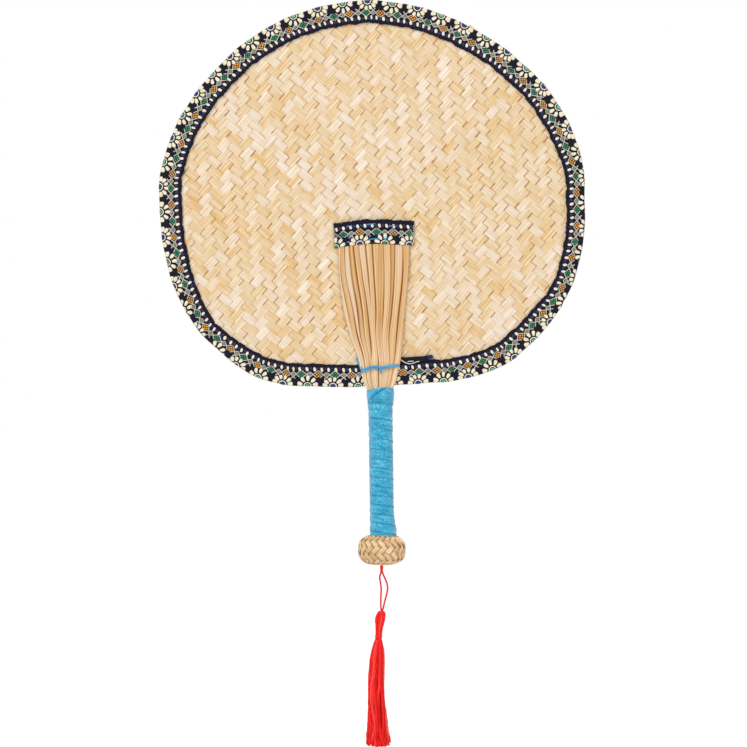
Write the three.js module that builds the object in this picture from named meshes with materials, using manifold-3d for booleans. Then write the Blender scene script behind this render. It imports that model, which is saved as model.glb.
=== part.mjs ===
// A woven reed hand fan. A ribbon is folded over the edge of the plaited blade, and two rows of
// split-reed splints clamp the blade and gather round a dowel under a wound tape, which is the handle.
// A plaited pommel closes the handle, and a tassel swings from it on a cord loop.
// Millimetres, +Z up the handle, the blade in the XZ plane with its front towards -Y.
// The origin is the middle of the grip, on the handle's axis.

import * as THREE from 'three';
import { mergeVertices } from 'three/addons/utils/BufferGeometryUtils.js';
import Module from 'manifold-3d';

const wasm = await Module();
wasm.setup();

const { degToRad, lerp, smoothstep } = THREE.MathUtils;

// Driving dimensions
const CLEARANCE = 0.3; // between pieces that touch

// Blade, to the outside of the ribbon's fold
const BLADE_HALF_WIDTH = 149.5;
const BLADE_RISE = 132.3; // from the widest line to the top
const BLADE_DROP = 138.6; // from the widest line to the bottom
const TOP_EXPONENT = 1.85; // of the superellipse that the outline follows
const BOTTOM_EXPONENT = 2.6;
const BLADE_TILT = degToRad(3); // anticlockwise, seen from the front
const BLADE_SHIFT = -6.4; // sideways from the handle's axis
const BLADE_STANDOFF = 1.2; // above the grip
const WEAVE_THICKNESS = 1.2;
const OUTLINE_STEPS = 72;

// Ribbon round the edge
const RIBBON_THICKNESS = 0.6;
const RIBBON_LEAF = 15.8; // fold to inner edge
const FOLD_CHAMFER = 0.8;
const RIBBON_END_LENGTH = 22; // the loose folded end beside the splints
const RIBBON_END_WIDTH = 3.4;
const RIBBON_END_OFFSET = 1.2; // from the splints

// Splints, on each face of the blade
const SPLINT_COUNT = 12;
const SPLINT_THICKNESS = 1.1;
const SPLINT_GAP = 0.4; // between neighbours
const FAN_LENGTH = 98.8; // from the grip to the patch
const FAN_HALF_SPREAD = 24.9; // at the patch
const NECK_HALF_SPREAD = 10; // at the grip
const FAN_EXPONENT = 1.75; // how soon the fan opens
const FAN_LEAN = -4.4; // sideways at the patch
const LEAN_START = 0.1; // shares of the fan's length
const LEAN_END = 0.62;
const SPLINT_TUCK = 15; // under the patch
const NECK_LENGTH = 8.5; // above the grip, where the ring of splints becomes two flat rows
const FLARE_LENGTH = 10; // below the grip's top, where the ring starts to open
const LEAF_STEP_MARGIN = 3; // past the ribbon's inner edge
const LEAF_STEP_RUN = 12; // in which the splints come down from the ribbon to the weave

// Patches over the splints' ends
const PATCH_HEIGHT = 19.5;
const PATCH_MARGIN = 3; // past the outer splints
const PATCH_TILT = degToRad(1.5);

// Handle
const GRIP_LENGTH = 103;
const CORE_DIAMETER = 13.1;
const CORE_SIDES = 24;
const TAPE_THICKNESS = 0.8;
const TAPE_TURNS = 15;
const TAPE_GAP = 0.6; // between turns
const TAPE_STEPS = 20; // in a turn

// Neck tie, above the grip
const TIE_DIAMETER = 2;
const TIE_LEFT_HEIGHT = 12.2;
const TIE_RIGHT_HEIGHT = 16.2;
const TIE_EYE_HEIGHT = 24.5; // where its left run goes through the blade
const TIE_TAIL_LENGTH = 4;
const TIE_TAIL_GAP = 0.7;
const TIE_TAIL_BEND = 2.2;
const TIE_STEPS = 60;

// Pommel
const POMMEL_DIAMETER = 33.6;
const POMMEL_HEIGHT = 20.4;
const POMMEL_EXPONENT = 2.8;
const PLAIT_THICKNESS = 1.6;
const TENON_LENGTH = 10; // of the core in the pommel
const POMMEL_SIDES = 24;
const POMMEL_STEPS = 12; // in its profile

// Cord and tassel
const STOP_KNOT_DIAMETER = 4.4;
const CORD_STEM_DIAMETER = 2.4; // both strands, where they pass through the pommel
const CORD_KNOT_DIAMETER = 3.2;
const CORD_DIAMETER = 1.2;
const CORD_STEPS = 32;
const CORD_SIDES = 8; // also of the tie
const KNOT_SIDES = 16;
const HEAD_DIAMETER = 7.7;
const HEAD_LENGTH = 13;
const HEAD_FULLNESS = 0.8; // 1 is an ellipse, and less is fuller
const NECK_DIAMETER = 3.4; // under the binding
const BINDING_THREAD = 0.8;
const BINDING_TURNS = 4;
const BINDING_GAP = 0.5;
const BINDING_STEPS = 18; // in a turn
const BINDING_SIDES = 6;
const SKIRT_LENGTH = 72.4;
const SKIRT_TOP_DIAMETER = 4.4;
const SKIRT_BODY_DIAMETER = 11.6;
const SKIRT_HEM_DIAMETER = 19;
const SKIRT_SHOULDER = 0.25; // share of its length
const SKIRT_FLARE_EXPONENT = 3.2;
const SKIRT_FLUTES = 12;
const FLUTE_DEPTH = 0.06; // share of the radius
const FLUTE_POINTS = 3; // round each flute

// Heights and faces that follow from them
const gripTop = GRIP_LENGTH / 2;
const bladeBottom = gripTop + BLADE_STANDOFF;
const bladeMiddle = bladeBottom + BLADE_DROP;
const weaveFace = WEAVE_THICKNESS / 2;
const ribbonInside = weaveFace + CLEARANCE;
const ribbonFace = ribbonInside + RIBBON_THICKNESS;
const patchBase = gripTop + FAN_LENGTH;
const splintTop = patchBase + SPLINT_TUCK;
const splintRing = CORE_DIAMETER / 2 + CLEARANCE + SPLINT_THICKNESS / 2;
const ringHalfAngle = Math.acos((ribbonFace + CLEARANCE + SPLINT_THICKNESS) / splintRing);
const flareStart = gripTop - FLARE_LENGTH;
const flatStart = gripTop + NECK_LENGTH;
const leafTop = bladeBottom + RIBBON_LEAF + LEAF_STEP_MARGIN;
const pommelTop = -gripTop - CLEARANCE;
const pommelMiddle = pommelTop - POMMEL_HEIGHT / 2;
const pommelBottom = pommelTop - POMMEL_HEIGHT;

// Geometry helpers

function spaced(start, end, steps) {
  return Array.from({ length: steps + 1 }, (_, k) => lerp(start, end, k / steps));
}

function facingOut(geometry) {
  const position = geometry.attributes.position;
  const index = geometry.index;
  const a = new THREE.Vector3();
  const b = new THREE.Vector3();
  const c = new THREE.Vector3();
  let volume = 0;
  for (let i = 0; i < index.count; i += 3) {
    a.fromBufferAttribute(position, index.getX(i));
    b.fromBufferAttribute(position, index.getX(i + 1));
    c.fromBufferAttribute(position, index.getX(i + 2));
    volume += a.dot(b.cross(c));
  }
  if (volume < 0) index.array.reverse();
  return geometry;
}

// Joins rings of points, which have the same count, into a closed solid: with flat ends, or end to end.
function loft(rings, endToEnd = false) {
  const count = rings[0].length;
  const triangles = [];
  const spans = endToEnd ? rings.length : rings.length - 1;
  for (let ring = 0; ring < spans; ring++) {
    const here = ring * count;
    const next = ((ring + 1) % rings.length) * count;
    for (let k = 0; k < count; k++) {
      const k2 = (k + 1) % count;
      triangles.push(here + k, here + k2, next + k2, here + k, next + k2, next + k);
    }
  }
  if (!endToEnd) {
    const last = (rings.length - 1) * count;
    for (let k = 1; k < count - 1; k++) {
      triangles.push(0, k + 1, k, last, last + k, last + k + 1);
    }
  }
  const geometry = new THREE.BufferGeometry().setFromPoints(rings.flat());
  geometry.setIndex(triangles);
  return facingOut(geometry);
}

function lathe(profile, sides) {
  const points = profile.map(([radius, height]) => new THREE.Vector2(radius, height));
  return facingOut(new THREE.LatheGeometry(points, sides).rotateX(Math.PI / 2));
}

function tube(points, diameter, sides, steps) {
  const section = new THREE.Shape();
  for (let k = 0; k < sides; k++) {
    const angle = (2 * Math.PI * k) / sides;
    const x = (diameter / 2) * Math.cos(angle);
    const y = (diameter / 2) * Math.sin(angle);
    if (k === 0) section.moveTo(x, y);
    else section.lineTo(x, y);
  }
  const extrudePath = new THREE.CatmullRomCurve3(points);
  return new THREE.ExtrudeGeometry(section, { steps, extrudePath, bevelEnabled: false });
}

function toSolid(geometry) {
  const bare = geometry.clone();
  bare.deleteAttribute('normal');
  bare.deleteAttribute('uv');
  const merged = mergeVertices(bare);
  const vertProperties = new Float32Array(merged.attributes.position.array);
  const triVerts = new Uint32Array(merged.index.array);
  return new wasm.Manifold(new wasm.Mesh({ numProp: 3, vertProperties, triVerts }));
}

function cut(geometry, tools) {
  let solid = toSolid(geometry);
  for (const tool of tools) solid = solid.subtract(toSolid(tool));
  const mesh = solid.getMesh();
  const result = new THREE.BufferGeometry();
  result.setAttribute('position', new THREE.BufferAttribute(mesh.vertProperties, 3));
  result.setIndex(new THREE.BufferAttribute(mesh.triVerts, 1));
  return result;
}

// Least distance between points that lie more than a given path length apart, less the thickness
// between them.
function printLeastGap(name, points, apart, thickness) {
  const along = [0];
  for (let i = 1; i < points.length; i++) along.push(along[i - 1] + points[i].distanceTo(points[i - 1]));
  let least = Infinity;
  for (let i = 0; i < points.length; i++) {
    for (let j = i + 1; j < points.length; j++) {
      if (along[j] - along[i] > apart) least = Math.min(least, points[i].distanceTo(points[j]));
    }
  }
  console.log(`${name}: least gap to itself ${(least - thickness).toFixed(2)} mm`);
}

// Blade outline

function outlineAt(angle) {
  const cos = Math.cos(angle);
  const sin = Math.sin(angle);
  const reach = sin > 0 ? BLADE_RISE : BLADE_DROP;
  const exponent = sin > 0 ? TOP_EXPONENT : BOTTOM_EXPONENT;
  const sum = Math.abs(cos / BLADE_HALF_WIDTH) ** exponent + Math.abs(sin / reach) ** exponent;
  const radius = sum ** (-1 / exponent);
  return new THREE.Vector2(radius * cos, radius * sin);
}

// A point of the outline, moved inwards and tilted into place, at the given depth.
function bladePoint(angle, inset, y) {
  const step = 0.02;
  const along = outlineAt(angle + step).sub(outlineAt(angle - step)).normalize();
  const inwards = new THREE.Vector2(-along.y, along.x).multiplyScalar(inset);
  const flat = outlineAt(angle).add(inwards).rotateAround(new THREE.Vector2(), BLADE_TILT);
  return new THREE.Vector3(BLADE_SHIFT + flat.x, y, bladeMiddle + flat.y);
}

const roundBlade = spaced(0, 2 * Math.PI, OUTLINE_STEPS).slice(0, -1);

// Splints

function fanShare(z) {
  return THREE.MathUtils.clamp((z - gripTop) / FAN_LENGTH, 0, 1);
}

function fanHalfSpread(z) {
  return lerp(NECK_HALF_SPREAD, FAN_HALF_SPREAD, 1 - (1 - fanShare(z)) ** FAN_EXPONENT);
}

function fanMiddle(z) {
  return FAN_LEAN * smoothstep(fanShare(z), LEAN_START, LEAN_END);
}

function fanEdge(z, side) {
  return fanMiddle(z) + side * fanHalfSpread(z);
}

function splintDepth(z) {
  const face = lerp(ribbonFace, weaveFace, smoothstep(z, leafTop, leafTop + LEAF_STEP_RUN));
  return face + CLEARANCE + SPLINT_THICKNESS / 2;
}

// Where a splint runs at a height: its middle, its turn round the handle's axis and its width.
// It is one stave of a half ring in the grip, and lies flat in a row on the blade.
function splintAt(number, z) {
  const flatness = THREE.MathUtils.clamp((z - flareStart) / (flatStart - flareStart), 0, 1);
  const ringPitch = (2 * ringHalfAngle) / (SPLINT_COUNT - 1);
  const ringAngle = -ringHalfAngle + number * ringPitch;
  const rowPitch = (2 * fanHalfSpread(z)) / SPLINT_COUNT;
  const rowX = fanEdge(z, -1) + (number + 0.5) * rowPitch;
  return {
    x: lerp(splintRing * Math.sin(ringAngle), rowX, flatness),
    depth: lerp(splintRing * Math.cos(ringAngle), splintDepth(z), flatness),
    turn: lerp(ringAngle, 0, flatness),
    width: lerp(ringPitch * splintRing, rowPitch, flatness) - SPLINT_GAP,
  };
}

// The section's corners, on the front of the blade for side -1 and on its back for side 1.
function splintCorners(number, z, side) {
  const { x, depth, turn, width } = splintAt(number, z);
  const corner = (across, out) => {
    const w = (across * width) / 2;
    const t = (out * SPLINT_THICKNESS) / 2;
    const cornerX = x + w * Math.cos(turn) + t * Math.sin(turn);
    const cornerDepth = depth - w * Math.sin(turn) + t * Math.cos(turn);
    return new THREE.Vector3(cornerX, side * cornerDepth, z);
  };
  return [corner(-1, -1), corner(1, -1), corner(1, 1), corner(-1, 1)];
}

function splintHeights() {
  const after = (start, end, count) => spaced(start, end, count).slice(1);
  return [
    -gripTop,
    flareStart,
    ...after(flareStart, flatStart, 5),
    leafTop,
    ...after(leafTop, leafTop + LEAF_STEP_RUN, 3),
    ...after(leafTop + LEAF_STEP_RUN, patchBase, 4),
    splintTop,
  ];
}

function splint(number, side) {
  return loft(splintHeights().map((z) => splintCorners(number, z, side)));
}

// How far the ring of splints reaches from the handle's axis at a height in the grip.
function splintReach(z) {
  let reach = 0;
  for (let number = 0; number < SPLINT_COUNT; number++) {
    for (const corner of splintCorners(number, z, -1)) {
      reach = Math.max(reach, Math.hypot(corner.x, corner.y));
    }
  }
  return reach;
}

// Neck tie: from a tail in front, round to the right, through the blade, across the back, through the blade
// again on the left, down beside the splints and back to a second tail.

const splintFace = splintDepth(flatStart) + SPLINT_THICKNESS / 2;
const tieEdge = CLEARANCE + TIE_DIAMETER / 2;
const tieFace = splintFace + tieEdge;

// Quarter turn round an outer corner of the splints at a height, from beside them to their face:
// on the right for side 1, on the back for face 1.
function tieTurn(z, side, face) {
  return [0, 45, 90].map((degrees) => {
    const angle = degToRad(degrees);
    const x = fanEdge(z, side) + side * tieEdge * Math.cos(angle);
    return new THREE.Vector3(x, face * (splintFace + tieEdge * Math.sin(angle)), z);
  });
}

function tiePoints() {
  const left = gripTop + TIE_LEFT_HEIGHT;
  const right = gripTop + TIE_RIGHT_HEIGHT;
  const eye = gripTop + TIE_EYE_HEIGHT;
  const rightX = fanEdge(right, 1) + tieEdge;
  const eyeX = fanEdge(eye, -1) - tieEdge;
  const middle = (left + right) / 2;
  const tailX = (TIE_DIAMETER + TIE_TAIL_GAP) / 2;
  const tail = (side) => [
    new THREE.Vector3(side * tailX, -tieFace, middle - TIE_TAIL_LENGTH),
    new THREE.Vector3(side * tailX, -tieFace, middle - TIE_TAIL_LENGTH / 2),
    new THREE.Vector3(side * (tailX + TIE_TAIL_BEND), -tieFace, middle),
  ];
  const halfway = (left + eye) / 2;
  const besideDepth = ribbonFace + tieEdge;
  return {
    eyes: [new THREE.Vector2(rightX, right), new THREE.Vector2(eyeX, eye)],
    route: [
      ...tail(1),
      ...tieTurn(right, 1, -1).reverse(),
      new THREE.Vector3(rightX, 0, right),
      ...tieTurn(right, 1, 1),
      ...tieTurn(eye, -1, 1).reverse(),
      new THREE.Vector3(eyeX, 0, eye),
      new THREE.Vector3(eyeX, -besideDepth, eye - TIE_DIAMETER / 2),
      new THREE.Vector3(fanEdge(halfway, -1) - tieEdge, -besideDepth, halfway),
      ...tieTurn(left, -1, -1),
      ...tail(-1).reverse(),
    ],
  };
}

const tie = tiePoints();

function neckTie() {
  const points = new THREE.CatmullRomCurve3(tie.route).getSpacedPoints(TIE_STEPS);
  printLeastGap('neck_tie', points, 4 * TIE_DIAMETER, TIE_DIAMETER);
  return tube(tie.route, TIE_DIAMETER, CORD_SIDES, TIE_STEPS);
}

// Holes for the tie, right through the blade.
function tieEyes() {
  const radius = TIE_DIAMETER / 2 + 2 * CLEARANCE;
  const length = 4 * ribbonFace;
  return tie.eyes.map((eye) => {
    const hole = new THREE.CylinderGeometry(radius, radius, length, CORD_SIDES);
    return hole.translate(eye.x, 0, eye.y);
  });
}

// Blade, ribbon and patches

function wovenBlade() {
  const edge = (y) => roundBlade.map((angle) => bladePoint(angle, RIBBON_THICKNESS + CLEARANCE, y));
  return cut(loft([edge(-weaveFace), edge(weaveFace)]), tieEyes());
}

function edgeRibbon() {
  const section = [
    [RIBBON_LEAF, -ribbonFace],
    [FOLD_CHAMFER, -ribbonFace],
    [0, -ribbonFace + FOLD_CHAMFER],
    [0, ribbonFace - FOLD_CHAMFER],
    [FOLD_CHAMFER, ribbonFace],
    [RIBBON_LEAF, ribbonFace],
    [RIBBON_LEAF, ribbonInside],
    [RIBBON_THICKNESS, ribbonInside],
    [RIBBON_THICKNESS, -ribbonInside],
    [RIBBON_LEAF, -ribbonInside],
  ];
  const rings = roundBlade.map((angle) => section.map(([inset, y]) => bladePoint(angle, inset, y)));
  return cut(loft(rings, true), tieEyes());
}

// The ribbon's loose end lies along its inner edge, from the splints to the right.
function ribbonEnd() {
  const inner = RIBBON_LEAF + CLEARANCE;
  const startX = fanEdge(leafTop, 1) + RIBBON_END_OFFSET - BLADE_SHIFT;
  const angleAt = (x) => Math.atan2(-BLADE_DROP, x) - BLADE_TILT;
  const angles = spaced(angleAt(startX), angleAt(startX + RIBBON_END_LENGTH), 6);
  const section = [
    [inner, -ribbonFace],
    [inner + RIBBON_END_WIDTH, -ribbonFace],
    [inner + RIBBON_END_WIDTH, -ribbonInside],
    [inner, -ribbonInside],
  ];
  return loft(angles.map((angle) => section.map(([inset, y]) => bladePoint(angle, inset, y))));
}

// A patch bridges the splints and comes down to the weave at its two sides.
function patch(side) {
  const under = splintDepth(patchBase) + SPLINT_THICKNESS / 2 + CLEARANCE;
  const outside = fanHalfSpread(patchBase) + PATCH_MARGIN;
  const inside = outside - RIBBON_THICKNESS;
  const bridge = [
    [-outside, ribbonInside],
    [-outside, under + RIBBON_THICKNESS],
    [outside, under + RIBBON_THICKNESS],
    [outside, ribbonInside],
    [inside, ribbonInside],
    [inside, under],
    [-inside, under],
    [-inside, ribbonInside],
  ];
  const shape = new THREE.Shape(bridge.map(([x, depth]) => new THREE.Vector2(x, side * depth)));
  const geometry = new THREE.ExtrudeGeometry(shape, { depth: PATCH_HEIGHT, bevelEnabled: false });
  return geometry.rotateY(-PATCH_TILT).translate(fanMiddle(patchBase), 0, patchBase);
}

// Handle

function handleCore() {
  const radius = CORE_DIAMETER / 2;
  const middleSplint = splintAt(Math.floor(SPLINT_COUNT / 2), gripTop);
  const topRadius = middleSplint.depth - SPLINT_THICKNESS / 2 - CLEARANCE;
  const foot = pommelTop - TENON_LENGTH;
  const shaft = [[radius, foot], [radius, flareStart], [topRadius, gripTop]];
  return lathe([[0, foot], ...shaft, [0, gripTop]], CORE_SIDES);
}

// One tape, wound upwards to the left, seen from the front. Its inside clears the splints at every height.
function handleTape() {
  const pitch = (GRIP_LENGTH + TAPE_GAP) / (TAPE_TURNS + 1);
  const width = pitch - TAPE_GAP;
  const facetRoom = 1 / Math.cos(Math.PI / TAPE_STEPS);
  const inside = (z) => (splintReach(Math.min(z, gripTop)) + CLEARANCE) * facetRoom;
  const rings = [];
  const edges = [];
  for (let step = 0; step <= TAPE_TURNS * TAPE_STEPS; step++) {
    const angle = (-2 * Math.PI * step) / TAPE_STEPS;
    const low = -gripTop + (pitch * step) / TAPE_STEPS;
    const high = low + width;
    const at = (radius, z) => new THREE.Vector3(radius * Math.cos(angle), radius * Math.sin(angle), z);
    rings.push([
      at(inside(low), low),
      at(inside(low) + TAPE_THICKNESS, low),
      at(inside(high) + TAPE_THICKNESS, high),
      at(inside(high), high),
    ]);
    edges.push(at(inside(low), low));
  }
  const halfTurn = Math.PI * splintRing;
  printLeastGap('handle_tape', edges, halfTurn, width);
  return loft(rings);
}

// Pommel

// Half an upright superellipse, from a radius at its top to a radius at its bottom.
function barrel(radius, halfHeight, topRadius, bottomRadius) {
  const turnAt = (r) => Math.acos((r / radius) ** (POMMEL_EXPONENT / 2));
  return spaced(turnAt(topRadius), -turnAt(bottomRadius), POMMEL_STEPS).map((turn) => {
    const r = radius * Math.cos(turn) ** (2 / POMMEL_EXPONENT);
    const rise = halfHeight * Math.abs(Math.sin(turn)) ** (2 / POMMEL_EXPONENT);
    return [r, pommelMiddle + Math.sign(turn) * rise];
  });
}

const socketRadius = CORE_DIAMETER / 2 + CLEARANCE;
const cordHole = CORD_STEM_DIAMETER / 2 + CLEARANCE;
const stopKnotFloor = pommelTop - TENON_LENGTH - 3 * CLEARANCE - STOP_KNOT_DIAMETER;

function pommelPlait() {
  const radius = POMMEL_DIAMETER / 2;
  const halfHeight = POMMEL_HEIGHT / 2;
  const wall = PLAIT_THICKNESS;
  const outer = barrel(radius, halfHeight, socketRadius, cordHole);
  const inner = barrel(radius - wall, halfHeight - wall, socketRadius, cordHole);
  const profile = [...outer, ...inner.reverse()];
  return lathe([...profile, profile[0]], POMMEL_SIDES);
}

function pommelCore() {
  const wall = PLAIT_THICKNESS + CLEARANCE;
  const outer = barrel(POMMEL_DIAMETER / 2 - wall, POMMEL_HEIGHT / 2 - wall, socketRadius, cordHole);
  const profile = [...outer, [cordHole, stopKnotFloor], [socketRadius, stopKnotFloor]];
  return lathe([...profile, profile[0]], POMMEL_SIDES);
}

// The stop knot lies in the socket, and its stem of cord reaches the pommel's underside.
function stopKnot() {
  const knot = STOP_KNOT_DIAMETER / 2;
  const stem = CORD_STEM_DIAMETER / 2;
  const middle = stopKnotFloor + CLEARANCE + knot;
  const round = spaced(Math.PI / 2, -Math.acos(stem / knot), 8).map((turn) => {
    return [knot * Math.cos(turn), middle + knot * Math.sin(turn)];
  });
  round[0][0] = 0;
  return lathe([...round, [stem, pommelBottom], [0, pommelBottom]], KNOT_SIDES);
}

// Cord loop and tassel

const cordKnotMiddle = pommelBottom - CLEARANCE - CORD_KNOT_DIAMETER / 2;

function cordKnot() {
  const knot = new THREE.SphereGeometry(CORD_KNOT_DIAMETER / 2, KNOT_SIDES, KNOT_SIDES / 2);
  return knot.translate(0, 0, cordKnotMiddle);
}

// The loop's route below the knot's middle, as sideways place and drop.
const LOOP_ROUTE = [
  [-0.85, 1.9],
  [-0.85, 3.4],
  [-0.9, 6.6],
  [-1, 10.6],
  [-1.2, 15.2],
  [-1.6, 19.8],
  [-2.2, 24.6],
  [-2.4, 28],
  [-1.7, 29.7],
  [0, 30.4],
  [1.7, 29.7],
  [2.4, 28],
  [3.2, 24],
  [4.1, 19.4],
  [4.3, 15.2],
  [3.5, 10.9],
  [2, 7.1],
  [1.05, 4.1],
  [0.85, 2.8],
  [0.85, 1.9],
];

const loopBottom = cordKnotMiddle - Math.max(...LOOP_ROUTE.map(([, drop]) => drop));

function tasselLoop() {
  const points = LOOP_ROUTE.map(([x, drop]) => new THREE.Vector3(x, 0, cordKnotMiddle - drop));
  return tube(points, CORD_DIAMETER, CORD_SIDES, CORD_STEPS);
}

const headTop = loopBottom - CORD_DIAMETER / 2 - CLEARANCE;
const headBottom = headTop - HEAD_LENGTH;
const bindingPitch = BINDING_THREAD + BINDING_GAP;
const bindingTop = headBottom - CLEARANCE - BINDING_THREAD / 2;
const bindingBottom = bindingTop - BINDING_TURNS * bindingPitch;
const neckEnd = bindingBottom - BINDING_THREAD / 2 - CLEARANCE;
const skirtTop = neckEnd - NECK_DIAMETER / 2 - CLEARANCE;

// A round head, drawn in to a neck that ends in a ball, on which the skirt turns.
function tasselHead() {
  const radius = HEAD_DIAMETER / 2;
  const neck = NECK_DIAMETER / 2;
  const middle = (headTop + headBottom) / 2;
  const head = spaced(Math.PI / 2, -Math.acos(neck / radius), 9).map((turn) => {
    return [radius * Math.cos(turn) ** HEAD_FULLNESS, middle + (HEAD_LENGTH / 2) * Math.sin(turn)];
  });
  head[0][0] = 0;
  const ball = spaced(0, -Math.PI / 2, 4).map((turn) => {
    return [neck * Math.cos(turn), neckEnd + neck * Math.sin(turn)];
  });
  ball[ball.length - 1][0] = 0;
  return lathe([...head, [neck, headBottom], ...ball], KNOT_SIDES);
}

function tasselBinding() {
  const radius = NECK_DIAMETER / 2 + CLEARANCE + BINDING_THREAD / 2;
  const steps = BINDING_STEPS * BINDING_TURNS;
  const points = [];
  for (let step = 0; step <= steps; step++) {
    const angle = (2 * Math.PI * BINDING_TURNS * step) / steps;
    const z = lerp(bindingTop, bindingBottom, step / steps);
    points.push(new THREE.Vector3(radius * Math.cos(angle), radius * Math.sin(angle), z));
  }
  printLeastGap('tassel_binding', points, Math.PI * radius, BINDING_THREAD);
  return tube(points, BINDING_THREAD, BINDING_SIDES, steps);
}

function skirtRadius(share) {
  const shoulder = 1 - (1 - Math.min(share / SKIRT_SHOULDER, 1)) ** 2;
  const body = lerp(SKIRT_TOP_DIAMETER, SKIRT_BODY_DIAMETER, shoulder);
  const flare = (SKIRT_HEM_DIAMETER - SKIRT_BODY_DIAMETER) * share ** SKIRT_FLARE_EXPONENT;
  return (body + flare) / 2;
}

function tasselSkirt() {
  const shares = [0, 0.04, 0.09, 0.16, 0.25, 0.42, 0.58, 0.72, 0.84, 0.93, 1];
  const rings = shares.map((share) => {
    const ring = [];
    const fluting = FLUTE_DEPTH * Math.min(share / SKIRT_SHOULDER, 1);
    for (const angle of spaced(0, 2 * Math.PI, SKIRT_FLUTES * FLUTE_POINTS).slice(1)) {
      const radius = skirtRadius(share) * (1 + fluting * (Math.cos(SKIRT_FLUTES * angle) - 1) / 2);
      const z = skirtTop - share * SKIRT_LENGTH;
      ring.push(new THREE.Vector3(radius * Math.cos(angle), radius * Math.sin(angle), z));
    }
    return ring;
  });
  return loft(rings);
}

// The fan

const straw = { color: 0xeed9b2, roughness: 0.6, metalness: 0 };
const tan = { color: 0xd9b27a, roughness: 0.6, metalness: 0 };
const plaitTan = { color: 0xcda56e, roughness: 0.65, metalness: 0 };
const wood = { color: 0xc79a63, roughness: 0.7, metalness: 0 };
const ribbonNavy = { color: 0x231e37, roughness: 0.85, metalness: 0 };
const tapeBlue = { color: 0x2b86c9, roughness: 0.9, metalness: 0 };
const tieBlue = { color: 0x58a9dd, roughness: 0.9, metalness: 0 };
const tasselRed = { color: 0xe11e1e, roughness: 0.7, metalness: 0 };

const fan = new THREE.Group();

function add(name, geometry, finish) {
  const mesh = new THREE.Mesh(geometry, new THREE.MeshStandardMaterial(finish));
  mesh.name = name;
  fan.add(mesh);
}

add('woven_blade', wovenBlade(), straw);
add('edge_ribbon', edgeRibbon(), ribbonNavy);
add('ribbon_end', ribbonEnd(), ribbonNavy);
add('front_patch', patch(-1), ribbonNavy);
add('back_patch', patch(1), ribbonNavy);
for (let number = 0; number < SPLINT_COUNT; number++) {
  const label = String(number + 1).padStart(2, '0');
  add(`front_splint_${label}`, splint(number, -1), tan);
  add(`back_splint_${label}`, splint(number, 1), tan);
}
add('handle_core', handleCore(), wood);
add('neck_tie', neckTie(), tieBlue);
add('handle_tape', handleTape(), tapeBlue);
add('pommel_core', pommelCore(), wood);
add('pommel_plait', pommelPlait(), plaitTan);
add('cord_stop_knot', stopKnot(), tasselRed);
add('cord_knot', cordKnot(), tasselRed);
add('tassel_loop', tasselLoop(), tasselRed);
add('tassel_head', tasselHead(), tasselRed);
add('tassel_binding', tasselBinding(), tasselRed);
add('tassel_skirt', tasselSkirt(), tasselRed);

export default fan;
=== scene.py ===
"""Looks of a woven reed hand fan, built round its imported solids. Metres, front towards -Y."""

import math

import bmesh
import bpy
import numpy as np
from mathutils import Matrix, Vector


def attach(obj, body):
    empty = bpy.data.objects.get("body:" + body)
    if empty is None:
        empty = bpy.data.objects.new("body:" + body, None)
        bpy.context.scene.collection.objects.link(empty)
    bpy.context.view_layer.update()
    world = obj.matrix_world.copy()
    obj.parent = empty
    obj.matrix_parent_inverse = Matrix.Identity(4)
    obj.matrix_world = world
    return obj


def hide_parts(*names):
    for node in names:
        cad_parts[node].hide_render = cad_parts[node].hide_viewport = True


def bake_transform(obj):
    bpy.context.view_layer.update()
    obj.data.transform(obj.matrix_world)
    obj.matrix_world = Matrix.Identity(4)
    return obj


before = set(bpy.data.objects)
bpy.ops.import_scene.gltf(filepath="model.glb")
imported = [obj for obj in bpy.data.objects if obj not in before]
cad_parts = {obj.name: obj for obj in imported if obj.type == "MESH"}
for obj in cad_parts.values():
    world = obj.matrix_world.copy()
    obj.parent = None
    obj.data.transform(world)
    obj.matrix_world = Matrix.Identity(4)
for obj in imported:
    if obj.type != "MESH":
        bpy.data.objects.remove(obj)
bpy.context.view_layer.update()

MM = 0.001
scene = bpy.context.scene

# Blade outline, as in the part's source

HALF_WIDTH = 149.5 * MM
RISE = 132.3 * MM
DROP = 138.6 * MM
TOP_EXPONENT = 1.85
BOTTOM_EXPONENT = 2.6
TILT = math.radians(3)
BLADE_X = -6.4 * MM
BLADE_Z = 191.3 * MM


# Node trees


class Field:
    """An output of a node, on which arithmetic adds Math nodes to the tree."""

    def __init__(self, net, socket):
        self.net = net
        self.socket = socket

    def math(self, operation, *others):
        node = self.net.tree.nodes.new("ShaderNodeMath")
        node.operation = operation
        for place, value in enumerate((self, *others)):
            self.net.put(node.inputs[place], value)
        return Field(self.net, node.outputs[0])

    def __add__(self, other):
        return self.math("ADD", other)

    def __sub__(self, other):
        return self.math("SUBTRACT", other)

    def __rsub__(self, other):
        return self.math("MULTIPLY", -1.0) + other

    def __mul__(self, other):
        return self.math("MULTIPLY", other)

    def __truediv__(self, other):
        return self.math("DIVIDE", other)

    def __pow__(self, other):
        return self.math("POWER", other)

    def __gt__(self, other):
        return self.math("GREATER_THAN", other)

    __radd__ = __add__
    __rmul__ = __mul__

    def sin(self):
        return self.math("SINE")

    def cos(self):
        return self.math("COSINE")

    def size(self):
        return self.math("ABSOLUTE")

    def between(self, low, high):
        return self.math("MAXIMUM", low).math("MINIMUM", high)

    def unit(self):
        return self.between(0.0, 1.0)

    def over(self, start, steep):
        """0 up to a start, and from there up to 1 as steeply as given."""
        return ((self - start) * steep).unit()


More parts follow.
